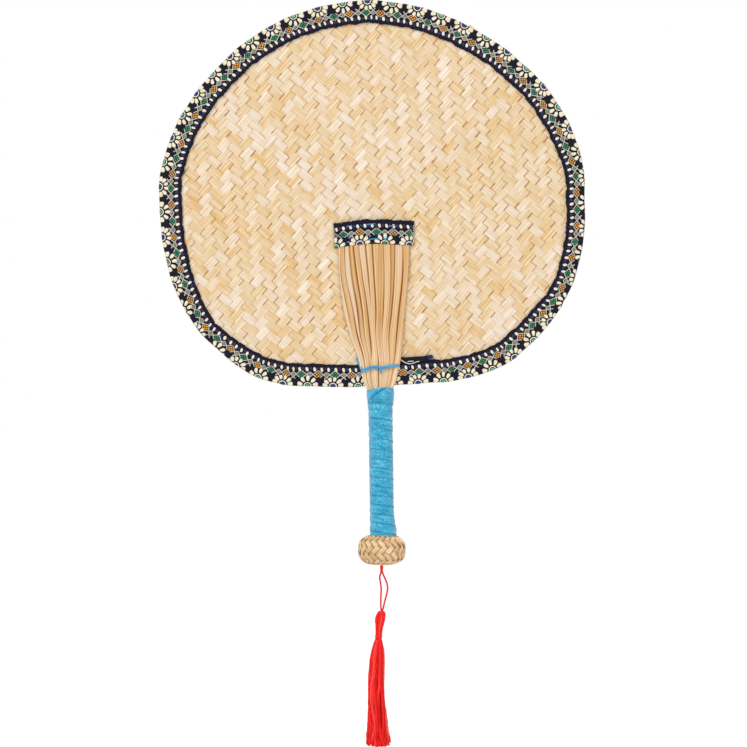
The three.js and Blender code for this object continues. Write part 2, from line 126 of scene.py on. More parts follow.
class Net:
    """A node tree under construction."""

    def __init__(self, tree):
        self.tree = tree

    def put(self, socket, value):
        if isinstance(value, Field):
            self.tree.links.new(value.socket, socket)
        else:
            socket.default_value = value

    def node(self, kind, inputs=None, out=None, **settings):
        """Adds a node and gives one of its outputs. Inputs and outputs go by name among those in use."""
        node = self.tree.nodes.new(kind)
        for name, value in settings.items():
            setattr(node, name, value)
        for name, value in (inputs or {}).items():
            self.put(next(s for s in node.inputs if s.name == name and s.enabled), value)
        return Field(self, next(s for s in node.outputs if s.enabled and out in (None, s.name)))

    def vector(self, x, y, z):
        return self.node("ShaderNodeCombineXYZ", {"X": x, "Y": y, "Z": z})

    def parts(self, vector):
        node = self.tree.nodes.new("ShaderNodeSeparateXYZ")
        self.put(node.inputs[0], vector)
        return [Field(self, s) for s in node.outputs]

    def noise(self, x, y, z, detail=2.0, roughness=0.5):
        place = self.vector(x, y, z)
        settings = {"Vector": place, "Scale": 1.0, "Detail": detail, "Roughness": roughness}
        return self.node("ShaderNodeTexNoise", settings)

    def ramp(self, share, tones):
        """Colours by share, from tones of 0 to 255 at equal steps."""
        node = self.tree.nodes.new("ShaderNodeValToRGB")
        self.put(node.inputs[0], share)
        elements = node.color_ramp.elements
        while len(elements) < len(tones):
            elements.new(0.5)
        for place, (element, tone) in enumerate(zip(elements, tones)):
            element.position = place / (len(tones) - 1)
            element.color = paint(*tone)
        return Field(self, node.outputs[0])

    def mix(self, share, first, second):
        inputs = {"Factor": share, "A": first, "B": second}
        return self.node("ShaderNodeMix", inputs, data_type="RGBA")

    def geo(self, kind, inputs=None, out=None, **settings):
        return self.node("GeometryNode" + kind, inputs, out, **settings)

    def position(self):
        return self.parts(self.geo("InputPosition"))

    def moved(self, geometry, x, y, z):
        return self.geo("SetPosition", {"Geometry": geometry, "Position": self.vector(x, y, z)})

    def copies(self, points, shape, **more):
        """Copies of a shape at points, as real geometry."""
        copies = self.geo("InstanceOnPoints", {"Points": points, "Instance": shape, **more})
        return self.geo("RealizeInstances", {"Geometry": copies})

    def ring(self, sides, radius):
        return self.geo("CurvePrimitiveCircle", {"Resolution": sides, "Radius": radius}, mode="RADIUS")

    def kept(self, name):
        """An attribute of the geometry, in a geometry tree."""
        return self.geo("InputNamedAttribute", {"Name": name}, data_type="FLOAT")

    def keep(self, geometry, name, value):
        inputs = {"Geometry": geometry, "Name": name, "Value": value}
        return self.geo("StoreNamedAttribute", inputs, data_type="FLOAT", domain="POINT")

    def hold(self, geometry, **fields):
        """Keeps fields on the geometry's points. Gives the geometry and the fields as kept."""
        for name, value in fields.items():
            geometry = self.keep(geometry, name, value)
        return geometry, *(self.kept(name) for name in fields)

    def random(self, low, high, number, seed):
        node = self.tree.nodes.new("FunctionNodeRandomValue")
        for place, value in ((2, low), (3, high), (7, number), (8, seed)):
            self.put(node.inputs[place], value)
        return Field(self, node.outputs[1])


SOCKETS = {int: "NodeSocketInt", float: "NodeSocketFloat", type(None): "NodeSocketObject"}


def geometry_tree(name, sizes):
    """An empty geometry tree with an input for each size and for the finish. None stands for an object."""
    tree = bpy.data.node_groups.new(name, "GeometryNodeTree")
    net = Net(tree)
    tree.interface.new_socket("Geometry", in_out="INPUT", socket_type="NodeSocketGeometry")
    for size, value in sizes.items():
        tree.interface.new_socket(size, in_out="INPUT", socket_type=SOCKETS[type(value)])
    tree.interface.new_socket("Finish", in_out="INPUT", socket_type="NodeSocketMaterial")
    tree.interface.new_socket("Geometry", in_out="OUTPUT", socket_type="NodeSocketGeometry")
    entry = tree.nodes.new("NodeGroupInput")
    fields = {socket.name: Field(net, socket) for socket in entry.outputs if socket.name}
    return net, fields


def close_tree(net, geometry, finish):
    """Ends a tree, in which instances are made real and take the finish, and gives it."""
    real = net.geo("RealizeInstances", {"Geometry": geometry})
    painted = net.geo("SetMaterial", {"Geometry": real, "Material": finish})
    leave = net.tree.nodes.new("NodeGroupOutput")
    net.put(leave.inputs[0], painted)
    return net


def grown(name, net, sizes, finish, start=None):
    """Runs a geometry tree on a start mesh and gives the result as a plain mesh object."""
    maker = shown(name + "_maker", start or bpy.data.meshes.new(name + "_start"))
    modifier = maker.modifiers.new("grow", "NODES")
    modifier.node_group = net.tree
    values = {**sizes, "Finish": finish}
    for item in net.tree.interface.items_tree:
        if item.in_out == "INPUT" and item.name in values:
            modifier[item.identifier] = values[item.name]
    bpy.context.view_layer.update()
    evaluated = maker.evaluated_get(bpy.context.evaluated_depsgraph_get())
    mesh = bpy.data.meshes.new_from_object(evaluated)
    mesh.name = name
    bpy.data.objects.remove(maker)
    return shown(name, mesh)


def shown(name, data):
    """An object of the scene, from a mesh, a curve, a light or a camera."""
    piece = bpy.data.objects.new(name, data)
    scene.collection.objects.link(piece)
    return piece


def smooth(piece, degrees):
    piece.data.shade_smooth()
    piece.data.set_sharp_from_angle(angle=math.radians(degrees))
    return piece


# Shapes made point by point


def closed_mesh(name, points, faces, finish, values=None):
    """A closed mesh with its faces outwards. Values are numbers kept at each point, by name."""
    mesh = bpy.data.meshes.new(name)
    mesh.from_pydata(np.asarray(points).reshape(-1, 3).tolist(), [], faces)
    work = bmesh.new()
    work.from_mesh(mesh)
    bmesh.ops.recalc_face_normals(work, faces=work.faces)
    work.to_mesh(mesh)
    work.free()
    for label, numbers in (values or {}).items():
        layer = mesh.attributes.new(label, "FLOAT", "POINT")
        layer.data.foreach_set("value", np.asarray(numbers, dtype=float).ravel())
    mesh.materials.append(finish)
    return mesh


def loft(name, rings, finish, values=None):
    """A closed solid through rings of equal point counts. A value may stand for a whole ring or all rings."""
    rings = np.asarray(rings, dtype=float)
    count, sides = rings.shape[:2]
    number = np.arange(count * sides).reshape(count, sides)
    beside = np.roll(number, -1, axis=1)
    quads = np.stack([number[:-1], beside[:-1], beside[1:], number[1:]], axis=-1)
    faces = quads.reshape(-1, 4).tolist() + [number[0][::-1].tolist(), number[-1].tolist()]
    values = {label: np.broadcast_to(numbers, number.shape) for label, numbers in (values or {}).items()}
    return closed_mesh(name, rings, faces, finish, values)


def lofted(name, rings, finish, values, degrees):
    """A smooth piece through rings in mm."""
    return smooth(shown(name, loft(name, np.array(rings) * MM, finish, values)), degrees)


def polyline(name, lines):
    """A mesh of open lines, for a tree to start from."""
    points = []
    edges = []
    for line in lines:
        first = len(points)
        points.extend(tuple(point) for point in line)
        edges.extend((number, number + 1) for number in range(first, len(points) - 1))
    mesh = bpy.data.meshes.new(name)
    mesh.from_pydata(points, edges, [])
    return mesh


def travelled(points):
    """Length of a line up to each of its points."""
    return np.concatenate([[0], np.cumsum(np.linalg.norm(np.diff(points, axis=0), axis=1))])


def eased(points, count):
    """Points spaced evenly on a smooth line through the given ones."""
    points = np.asarray(points, dtype=float)
    ends = np.concatenate([[2 * points[0] - points[1]], points, [2 * points[-1] - points[-2]]])
    share = np.linspace(0, 1, 12, endpoint=False)[:, None]
    line = []
    for a, b, c, d in zip(ends, ends[1:], ends[2:], ends[3:]):
        bend = 2 * a - 5 * b + 4 * c - d
        line.append(0.5 * (2 * b + (c - a) * share + bend * share**2 + (3 * b - a - 3 * c + d) * share**3))
    line = np.concatenate([*line, points[-1:]])
    travel = travelled(line)
    places = np.linspace(0, travel[-1], count)
    return np.column_stack([np.interp(places, travel, line[:, axis]) for axis in range(line.shape[1])])


def line_length(points):
    return float(np.linalg.norm(np.diff(np.asarray(points), axis=0), axis=1).sum())


def step_up(value, low, high):
    """0 below low and 1 above high, with a smooth rise between."""
    share = np.clip((value - low) / (high - low), 0, 1)
    return share * share * (3 - 2 * share)


def bell(value, middle, spread):
    """1 at the middle, falling to nothing on both sides."""
    return np.exp(-(((value - middle) / spread) ** 2))


def facing_back(piece, name):
    """A copy of a front piece, turned over to the back face."""
    mesh = piece.data.copy()
    mesh.name = name
    count = len(mesh.vertices)
    points = np.empty(count * 3)
    mesh.vertices.foreach_get("co", points)
    points = points.reshape(-1, 3) * (1, -1, 1)
    mesh.vertices.foreach_set("co", points.ravel())
    mesh.flip_normals()
    return shown(name, mesh)


def dress(piece, body, slot, *nodes):
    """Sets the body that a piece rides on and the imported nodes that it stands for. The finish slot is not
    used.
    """
    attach(piece, body)
    if nodes:
        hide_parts(*nodes)
    return piece


def dress_bent(piece, node):
    """Bakes the transform of a piece into its mesh and hides the imported node that it stands for."""
    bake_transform(piece)
    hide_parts(node)


# Colours and finishes


def paint(red, green, blue):
    """A colour of 0 to 255 as Blender's linear values."""
    linear = []
    for value in (red, green, blue):
        share = value / 255
        linear.append(share / 12.92 if share <= 0.04045 else ((share + 0.055) / 1.055) ** 2.4)
    return (*linear, 1.0)


class Finish(Net):
    """A material under construction."""

    def __init__(self, name, roughness, specular, sheen=0.0):
        self.material = bpy.data.materials.new(name)
        self.material.use_nodes = True
        super().__init__(self.material.node_tree)
        self.surface = self.tree.nodes["Principled BSDF"].inputs
        self.surface["Roughness"].default_value = roughness
        self.surface["Specular IOR Level"].default_value = specular
        self.surface["Sheen Weight"].default_value = sheen

    def value(self, name):
        """A number kept at the points of the mesh."""
        return self.node("ShaderNodeAttribute", out="Fac", attribute_name=name)

    def values(self, *names):
        return [self.value(name) for name in names]

    def done(self, colour, height, depth):
        """The finished material, with its colour and the depth of its relief."""
        self.put(self.surface["Base Color"], colour)
        relief = {"Height": height, "Distance": depth, "Strength": 1.0}
        self.put(self.surface["Normal"], self.node("ShaderNodeBump", relief))
        return self.material


def reed_finish(name, tones, streaks, slots):
    """Split reed: a tone for each strip, fibres along it, and a painted shadow where it dives under another
    strip.

    Streaks sets how strong the fibres, the gloss and the painted edge highlights are, and the last strength
    sets how strong the painted shadow is. The strips' sides are painted a light warm tan, for the warm light
    bounced between strips.
    """
    net = Finish(name, 0.5, specular=0.35)
    along, across, tone = net.values("along", "across", "tone")
    fibres = net.noise(along * 25, across * 9, tone * 70, detail=3.0, roughness=0.65)
    bands = net.noise(along * 9, across * 4.4, tone * 90, detail=1.0)
    patches = net.noise(along * 80, across * 0.7, tone * 40, detail=1.0)
    shade = (tone * 0.8 + 0.1 + (patches - 0.5) * 1.1).unit()
    colour = net.ramp(shade, tones)
    blush = net.noise(along * 70, across * 0.9, tone * 61 + 7, detail=1.0).over(0.45, 5)
    colour = net.mix(blush * 0.4, colour, paint(233, 210, 190))
    streak = ((fibres - 0.5) * 1.8 + (bands - 0.5) * 2.6 + 0.2).unit()
    colour = net.mix(streak * streaks, colour, paint(206, 166, 108))
    gloss = ((0.48 - bands) * 5).unit()
    colour = net.mix(gloss * streaks * 1.2, colour, paint(252, 242, 224))
    # Painted highlight along one edge of some strips.
    painted_rim_highlight = across.over(0.62, 4)
    bright = net.noise(along * 60, tone * 210, 8.0, detail=0.0).over(0.44, 6)
    colour = net.mix(painted_rim_highlight * bright * streaks, colour, paint(255, 248, 236))
    # Painted shadow where the strip dives under a crossing strip, on some of the dives.
    chosen = net.noise(along * 95, tone * 310, 4.0, detail=0.0).over(0.42, 6)
    slot = (1.15 - net.value("rise") * 2.1).unit() * (chosen * 0.85 + 0.15)
    colour = net.mix(slot * slots, colour, paint(146, 92, 24))
    # The strip's sides are painted a light warm tan, standing in for warm light bounced into the creases.
    side = across.size().over(0.88, 9)
    colour = net.mix(side * 0.7, colour, paint(238, 188, 118))
    return net.done(colour, fibres * 0.6 + bands, 0.12 * MM)


STREAKY_TONES = ((238, 224, 208), (231, 211, 184), (225, 200, 158), (223, 192, 140), (222, 181, 116))
SMOOTH_TONES = ((231, 216, 200), (227, 208, 182), (224, 199, 158), (221, 190, 140), (219, 178, 114))
streaky_reed = reed_finish("streaky_reed", STREAKY_TONES, streaks=0.55, slots=0.5)
smooth_reed = reed_finish("smooth_reed", SMOOTH_TONES, streaks=0.32, slots=1.0)


def cloth_finish(name, tones, rib, rib_depth, roughness=0.85, sheen=0.3):
    """Ribbon cloth: fine ribs across it and loose lighter threads. Rib is the ribs' pitch in metres."""
    net = Finish(name, roughness, specular=0.25, sheen=sheen)
    along, inset = net.values("along", "inset")
    ribs = (along * (2 * math.pi / rib)).sin() * 0.5 + 0.5
    picks = (inset * (2 * math.pi / rib * 1.3)).sin() * 0.5 + 0.5
    grain = net.noise(along * 1400, inset * 1400, 0.0, detail=2.0)
    patches = net.noise(along * 130, inset * 210, 3.0, detail=2.0)
    shade = grain * 0.55 + patches * 0.6 + ribs * picks * 0.3 - 0.28
    return net.done(net.ramp(shade.unit(), tones), ribs * picks + grain * 0.7, rib_depth)


def thread_finish(name, *tones):
    """Raised thread of the ribbon's patterns."""
    return cloth_finish(name, tones, rib=0.42 * MM, rib_depth=0.09 * MM, roughness=0.6)


NAVY_TONES = ((5, 4, 16), (17, 13, 35), (40, 35, 66))
navy_cloth = cloth_finish("ribbon_navy", NAVY_TONES, rib=0.55 * MM, rib_depth=0.1 * MM, sheen=0.04)
cream_thread = thread_finish("cream_thread", (222, 206, 164), (248, 239, 214), (255, 252, 244))
stone_thread = thread_finish("stone_thread", (164, 160, 144), (212, 206, 190), (240, 236, 222))
olive_thread = thread_finish("olive_thread", (96, 98, 84), (148, 148, 130), (192, 188, 172))
orange_thread = thread_finish("orange_thread", (204, 112, 8), (242, 157, 26), (255, 202, 78))
green_thread = thread_finish("green_thread", (12, 98, 60), (28, 146, 96), (78, 184, 136))
mint_thread = thread_finish("mint_thread", (60, 152, 118), (116, 194, 164), (186, 230, 212))
blue_thread = thread_finish("blue_thread", (20, 34, 100), (36, 60, 148), (78, 108, 192))
indigo_thread = thread_finish("indigo_thread", (20, 20, 66), (36, 38, 98), (62, 64, 138))


# Reed weave: two families of strips in a 2/2 twill

WEAVE = {
    "Crossings": 66,
    "Samples": 4,
    "Rising": 1.0,
    "Step": 5.43 * MM,
    "Lay": math.radians(43.3),
    "Turn": math.radians(4.8),
    "Wave": 0.27 * MM,
    "Width": 5.8 * MM,
    "Thickness": 0.3 * MM,
    "Inset": 2.2 * MM,
    "Seed": 4,
}


def weave_tree():
    net, size = geometry_tree("twill_strips", WEAVE)
    count = size["Crossings"]
    half = count * 0.5
    ends = {"Start": net.vector(half * -1, 0.0, 0.0), "End": net.vector(half, 0.0, 0.0)}
    line = net.geo("CurvePrimitiveLine", ends)
    line = net.geo("ResampleCurve", {"Curve": line, "Count": count * size["Samples"] + 1}, mode="COUNT")
    first = net.vector(0.0, half * -1, 0.0)
    rows = net.geo("MeshLine", {"Count": count + 1, "Start Location": first, "Offset": (0.0, 1.0, 0.0)})
    strips = net.copies(rows, line)
    along, number, _ = net.position()
    strips, along, number = net.hold(strips, along=along, number=number.math("ROUND"))
    seed = size["Seed"]
    strips = net.keep(strips, "tone", net.random(0.0, 1.0, number + 500, seed))
    strips = net.keep(strips, "girth", net.random(0.95, 1.02, number + 500, seed + 1))
    slip = net.random(-0.12 * MM, 0.12 * MM, number + 500, seed + 2)
    ripple = net.noise(along * 0.35, number * 7.3, size["Rising"] * 31, detail=0.0) - 0.5
    slip = slip + ripple * (0.5 * MM)
    lift = net.noise(along * 0.5, number * 5.1, size["Rising"] * 17 + 9, detail=0.0) - 0.5

    heading = size["Turn"] + size["Rising"] * size["Lay"]
    other = size["Turn"] - size["Rising"] * size["Lay"]
    run = along * size["Step"]
    shift = number * size["Step"]
    x = run * heading.cos() + shift * other.cos() - slip * heading.sin()
    y = run * heading.sin() + shift * other.sin() + slip * heading.cos()
    swing = ((along + number - 0.5) * (math.pi / 2)).cos()
    swing = swing * (1.5 - swing * swing * 0.5)
    height = swing * size["Wave"] * size["Rising"] * -1 + lift * (0.12 * MM)
    strips = net.keep(strips, "rise", swing.size())
    strips = net.moved(strips, x, y, height)

    x, y, _ = net.position()
    level = x * math.cos(TILT) + y * math.sin(TILT)
    upright = y * math.cos(TILT) - x * math.sin(TILT)
    top = upright > 0.0
    reach = top * (RISE - DROP) + DROP - size["Inset"]
    exponent = top * (TOP_EXPONENT - BOTTOM_EXPONENT) + BOTTOM_EXPONENT
    spread = (level.size() / (HALF_WIDTH - size["Inset"])) ** exponent + (upright.size() / reach) ** exponent
    strips = net.geo("DeleteGeometry", {"Geometry": strips, "Selection": spread > 1.0}, domain="POINT")

    section = net.ring(10, 1.0)
    px, py, _ = net.position()
    wide = px.size() ** 0.35 * px.math("SIGN")
    crown = py.size() ** 0.6 * py.math("SIGN")
    section = net.keep(section, "across", wide)
    section = net.moved(section, wide * size["Width"] * 0.5, crown * size["Thickness"] * 0.5, 0.0)

    strips = net.keep(strips, "along", net.kept("along") * size["Step"])
    strips = net.geo("SetCurveNormal", {"Curve": strips}, mode="Z_UP")
    swept = {"Curve": strips, "Profile Curve": section, "Scale": net.kept("girth"), "Fill Caps": True}
    bands = net.geo("CurveToMesh", swept)
    turned = {"Rotation": (math.pi / 2, 0.0, 0.0), "Translation": (BLADE_X, 0.0, BLADE_Z)}
    return close_tree(net, net.geo("Transform", {"Geometry": bands, **turned}), size["Finish"])


weave = weave_tree()
rising = grown("weave_rising", weave, WEAVE, streaky_reed)
falling = grown("weave_falling", weave, {**WEAVE, "Rising": -1.0, "Seed": 40}, smooth_reed)
dress(smooth(rising, 60), "fan", "reed_weave", "woven_blade")
dress(smooth(falling, 60), "fan", "reed_weave")


# Ribbon: flat cloth and raised flowers, folded over a line

LEAF = 15.8  # mm from the fold to the selvedge
SELVEDGE = 1.9  # mm
CLOTH_THICKNESS = 0.45  # mm
BLUE_FLOWER = 25.5  # mm along the fold from the blade's lowest point to the first flower with a blue heart
LAST_BLUE_FLOWER = 70.0  # mm short of the lowest point, on the other side of the splints
FLOWER_PAIRS = 23  # from the one to the other
LOZENGE_INSET = 8.3  # mm
LOZENGE_SHIFT = 1.4  # mm along from a blue flower to its lozenge
LOZENGE_HALF_LENGTH = 3.7  # mm
LOZENGE_HALF_HEIGHT = 2.9  # mm
LOZENGE_PAIRS = 39  # round the whole edge
LATTICE_WIDTH = 0.62  # mm
DASH_INSET = 11.9  # mm
THREAD_HEIGHT = 0.22  # mm that the patterns stand up
PETAL_START = 3.7  # mm from the flower's middle
PETAL_END = 7.5
SHORT_PETAL_END = 6.8
PETAL_WIDTH = 2.62
FLOWER_RING = 2.5  # mm, radius of the ring of stitches
HEART_RADIUS = 1.6  # mm
BLUE_PETALS = (14, 42, 77, 112, 143, 168)  # degrees
GREEN_PETALS = (15, 48, 88, 126, 161)

# Where the ribbon's fold lies further out than the blade's plain outline:
# degrees round the blade, spread in degrees and mm
FULLER_EDGE = ((241, 11, 3.6), (297, 10, 2.8), (309, 8, 2.6), (122, 18, 1.6), (50, 22, -1.0))

FOLD = {"Path": None, "Repeats": 1, "Pitch": 0.0, "Start": 0.0, "Face": 1.42 * MM, "Upright": 0.0}


def fold_tree():
    """Lays copies of a flat mesh side by side and folds them over a path.

    The flat mesh runs along the path in x, lies from the fold to the front in +y and rises in z.
    The path's radius is how far the cloth is drawn over to the back there.
    """
    net, size = geometry_tree("ribbon_fold", FOLD)
    first = net.vector(size["Start"], 0.0, 0.0)
    pitch = net.vector(size["Pitch"], 0.0, 0.0)
    row = net.geo("MeshLine", {"Count": size["Repeats"], "Start Location": first, "Offset": pitch})
    flat = net.copies(row, size["Geometry"])
    along, inset, rise = net.position()
    flat, along, inset = net.hold(flat, along=along, inset=inset)

    path = net.geo("ObjectInfo", {"Object": size["Path"]}, out="Geometry")
    length = net.geo("CurveLength", {"Curve": path})
    place = net.tree.nodes.new("GeometryNodeSampleCurve")
    place.mode = "LENGTH"
    place.use_all_curves = True
    travel = along - (along / length).math("FLOOR") * length
    wanted = {"Curves": path, "Length": travel, "Value": net.geo("InputRadius")}
    for name, value in wanted.items():
        net.put(next(s for s in place.inputs if s.name == name and s.enabled), value)
    inset = inset - Field(net, next(s for s in place.outputs if s.name == "Value" and s.enabled))
    x, y, z = net.parts(Field(net, place.outputs["Position"]))
    east, _, north = net.parts(Field(net, place.outputs["Tangent"]))
    level = (east * east + north * north) ** 0.5
    upright = size["Upright"]
    sideways = north / level * (1.0 - upright)
    upwards = east / level * (1.0 - upright) + east.math("SIGN") * upright

    reach = inset.size()
    face = size["Face"]
    lean = 1.0 - reach.math("MINIMUM", face) / face
    depth = (1.0 - lean * lean).math("MAXIMUM", 0.0) ** 0.5 * inset.math("SIGN") * (face + rise)
    reach = reach - rise * lean
    folded = net.moved(flat, x - sideways * reach, y - depth, z + upwards * reach)
    return close_tree(net, folded, size["Finish"])


ribbon_fold = fold_tree()


def fold_path(name, points, closed, drawn=0.0):
    """A path to fold cloth over. Drawn is how far the cloth is pulled to the back at each point."""
    curve = bpy.data.curves.new(name, "CURVE")
    curve.dimensions = "3D"
    spline = curve.splines.new("POLY")
    spline.points.add(len(points) - 1)
    spline.points.foreach_set("co", np.column_stack([points, np.ones(len(points))]).ravel())
    spline.points.foreach_set("radius", np.zeros(len(points)) + drawn)
    spline.use_cyclic_u = closed
    return shown(name, curve)


def blade_edge():
    """The edge ribbon's fold, anticlockwise from the blade's lowest point, and how far it is drawn back."""
    turn = np.linspace(0, 2 * np.pi, 1440, endpoint=False) - np.pi / 2
    level = np.cos(turn)
    upright = np.sin(turn)
    reach = np.where(upright > 0, RISE, DROP)
    exponent = np.where(upright > 0, TOP_EXPONENT, BOTTOM_EXPONENT)
    radius = (np.abs(level / HALF_WIDTH) ** exponent + np.abs(upright / reach) ** exponent) ** (-1 / exponent)
    ripple = np.sin(25 * turn + 1.1) + 0.8 * np.sin(41 * turn + 2.6) + 0.6 * np.sin(17 * turn + 0.4)
    heading = np.degrees(turn + TILT) % 360
    fuller = sum(size * bell(heading, at, spread) for at, spread, size in FULLER_EDGE)
    radius = radius + (fuller - 0.3 + 0.16 * ripple) * MM
    x = BLADE_X + radius * (level * math.cos(TILT) - upright * math.sin(TILT))
    z = BLADE_Z + radius * (level * math.sin(TILT) + upright * math.cos(TILT))
    east = (heading + 90) % 360 - 90
    drawn = 2.7 * step_up(east, -38, -28) * (1 - step_up(east, 0, 16))
    drawn = drawn - 0.5 * step_up(east, 10, 24) * (1 - step_up(east, 125, 150))
    drawn = drawn + 3.0 * bell(heading, 221, 11)
    return np.column_stack([x, np.zeros_like(x), z]), drawn


def bar(middle, length, width, degrees, narrow=1.0):
    """Outline of a rounded bar at an angle from the way along. Its near end may be narrower."""
    half = length / 2
    side = width / 2
    cut = 0.4 * width
    near = side * narrow
    shape = np.array([
        (-half, -near * 0.55), (-half + cut, -near), (half - cut, -side), (half, -side * 0.5),
        (half, side * 0.5), (half - cut, side), (-half + cut, near), (-half, near * 0.55),
    ])
    turn = math.radians(degrees)
    turned = shape @ np.array([(math.cos(turn), math.sin(turn)), (-math.sin(turn), math.cos(turn))])
    return turned + middle


def lozenge(middle, half_length, half_height):
    corners = np.array([(half_length, 0), (0, half_height), (-half_length, 0), (0, -half_height)])
    following = np.roll(corners, -1, axis=0)
    shape = np.stack([corners * 0.84 + following * 0.16, corners * 0.16 + following * 0.84], axis=1)
    return shape.reshape(-1, 2) + middle


def round_outline(middle, radius):
    turn = np.linspace(0, 2 * np.pi, 20, endpoint=False)
    return np.column_stack([np.cos(turn), np.sin(turn)]) * radius + middle


def raised(name, outlines, finish, back=True):
    """Flat start mesh of raised patches of thread, in metres from outlines in mm, on one or both leaves."""
    points = []
    faces = []
    if back:
        outlines = outlines + [np.asarray(shape)[::-1] * (1, -1) for shape in outlines]
    for shape in outlines:
        shape = np.asarray(shape, dtype=float)
        middle = shape.mean(axis=0)
        count = len(shape)
        first = len(points)
        for share, level in ((1.0, -0.08), (0.94, 0.55 * THREAD_HEIGHT), (0.62, THREAD_HEIGHT)):
            points.extend((*place, level) for place in middle + (shape - middle) * share)
        points.append((*middle, THREAD_HEIGHT * 1.04))
        for side in range(count):
            beside = (side + 1) % count
            for ring in (0, count):
                a = first + ring
                faces.append((a + side, a + beside, a + count + beside, a + count + side))
            faces.append((first + 2 * count + side, first + 2 * count + beside, first + 3 * count))
        faces.append(tuple(first + side for side in reversed(range(count))))
    return closed_mesh(name, np.array(points) * MM, faces, finish)


def petal(at, degrees):
    """A petal that points away from the flower's middle. Those under a lozenge are shorter."""
    end = SHORT_PETAL_END if degrees in BLUE_PETALS[2:4] else PETAL_END
    turn = math.radians(degrees)
    reach = (PETAL_START + end) / 2
    middle = (at + reach * math.cos(turn), reach * math.sin(turn))
    return bar(middle, end - PETAL_START, PETAL_WIDTH, degrees, narrow=0.8)


def flower(at, petals):
    """Petals and ring of a half flower on the front leaf."""
    shapes = [petal(at, degrees) for degrees in petals]
    for degrees in range(15, 180, 25):
        turn = math.radians(degrees)
        middle = (at + FLOWER_RING * math.cos(turn), FLOWER_RING * math.sin(turn))
        shapes.append(bar(middle, 1.24, 0.75, degrees + 90))
    return shapes


def lattice(at, reach):
    """Thin lines round a lozenge, that run on past its side tips to where the next one's begin."""
    shapes = []
    slope = math.degrees(math.atan2(LOZENGE_HALF_HEIGHT, LOZENGE_HALF_LENGTH))
    for side in (-1, 1):
        for face in (-1, 1):
            first = 1.0 if face < 0 else 0.15
            middle_u = side * (first + reach) / 2
            middle_w = LOZENGE_INSET + face * LOZENGE_HALF_HEIGHT * (1 - abs(middle_u) / LOZENGE_HALF_LENGTH)
            length = (reach - first) / math.cos(math.radians(slope))
            shapes.append(bar((at + middle_u, middle_w), length, LATTICE_WIDTH, -side * face * slope))
    return shapes


def crescent(at):
    places = ((-1.3, 5.6, 50), (-0.5, 6.3, 20), (0.5, 6.3, -20), (1.3, 5.6, -50))
    return [bar((at + u, w), 1.15, 0.8, degrees) for u, w, degrees in places]


def cells(at):
    places = ((-1.3, 0), (1.3, 0), (0, -1.08), (0, 1.08))
    return [lozenge((at + u, LOZENGE_INSET + w), 1.06, 0.88) for u, w in places]


def flat_cloth(name, length, low, high, finish, rows, selvedges, drawn=None):
    """A closed strip of cloth with wavy, thicker selvedges, in metres from sizes in mm.

    Drawn is how far it will be pulled to the back at each row, which keeps its points close at the fold.
    """
    inner = [share for share in (0.0, 0.15, 0.4, 0.8, 1.42, 2.4, 4.5, 7.0, 9.5, 12.0) if share < high - 3]
    edge = [high - SELVEDGE - 0.25, high - SELVEDGE, high - SELVEDGE + 0.3, high - 0.3, high]
    front = np.array(inner + edge)
    if low < -3:
        insets = np.concatenate([-front[::-1], front[1:]])
    else:
        insets = np.concatenate([[low, low * 0.5], front])
    along = np.linspace(0.02, length - 0.02, rows)
    rings = []
    for row, u in enumerate(along):
        wave = 0.2 * math.sin(u * 1.9) + 0.18 * math.sin(u * 0.83 + 1) + 0.08 * math.sin(u * 3.7 + 2)
        wave += 0.22 * math.sin(u * 0.37 + 0.5) + 0.16 * math.sin(u * 0.53 + 1.7)
        share = np.clip((np.abs(insets) - 9.5) / (high - 9.5), 0, 1)
        w = insets + np.sign(insets) * wave * share**2
        if drawn is not None:
            w = w + drawn[row] * (1 - np.abs(insets) / high)
        thick = np.where(np.isin(np.round(np.abs(insets), 3), np.round(selvedges, 3)), 0.2, 0.0)
        top = thick + 0.03 * np.sin(u * 0.7 + insets * 0.4)
        upper = np.column_stack([np.full_like(w, u), w, top])
        lower = np.column_stack([np.full_like(w, u), w, np.full_like(w, -CLOTH_THICKNESS)])
        rings.append(np.concatenate([upper, lower[::-1]]))
    return loft(name, np.array(rings) * MM, finish)


def selvedge_insets(high):
    return [high - SELVEDGE, high - SELVEDGE + 0.3, high - 0.3]


edge_points, edge_drawn = blade_edge()
edge_round = np.concatenate([edge_points, edge_points[:1]])
edge_length = line_length(edge_round) / MM
edge_path = fold_path("edge_path", edge_points, closed=True, drawn=edge_drawn * MM)


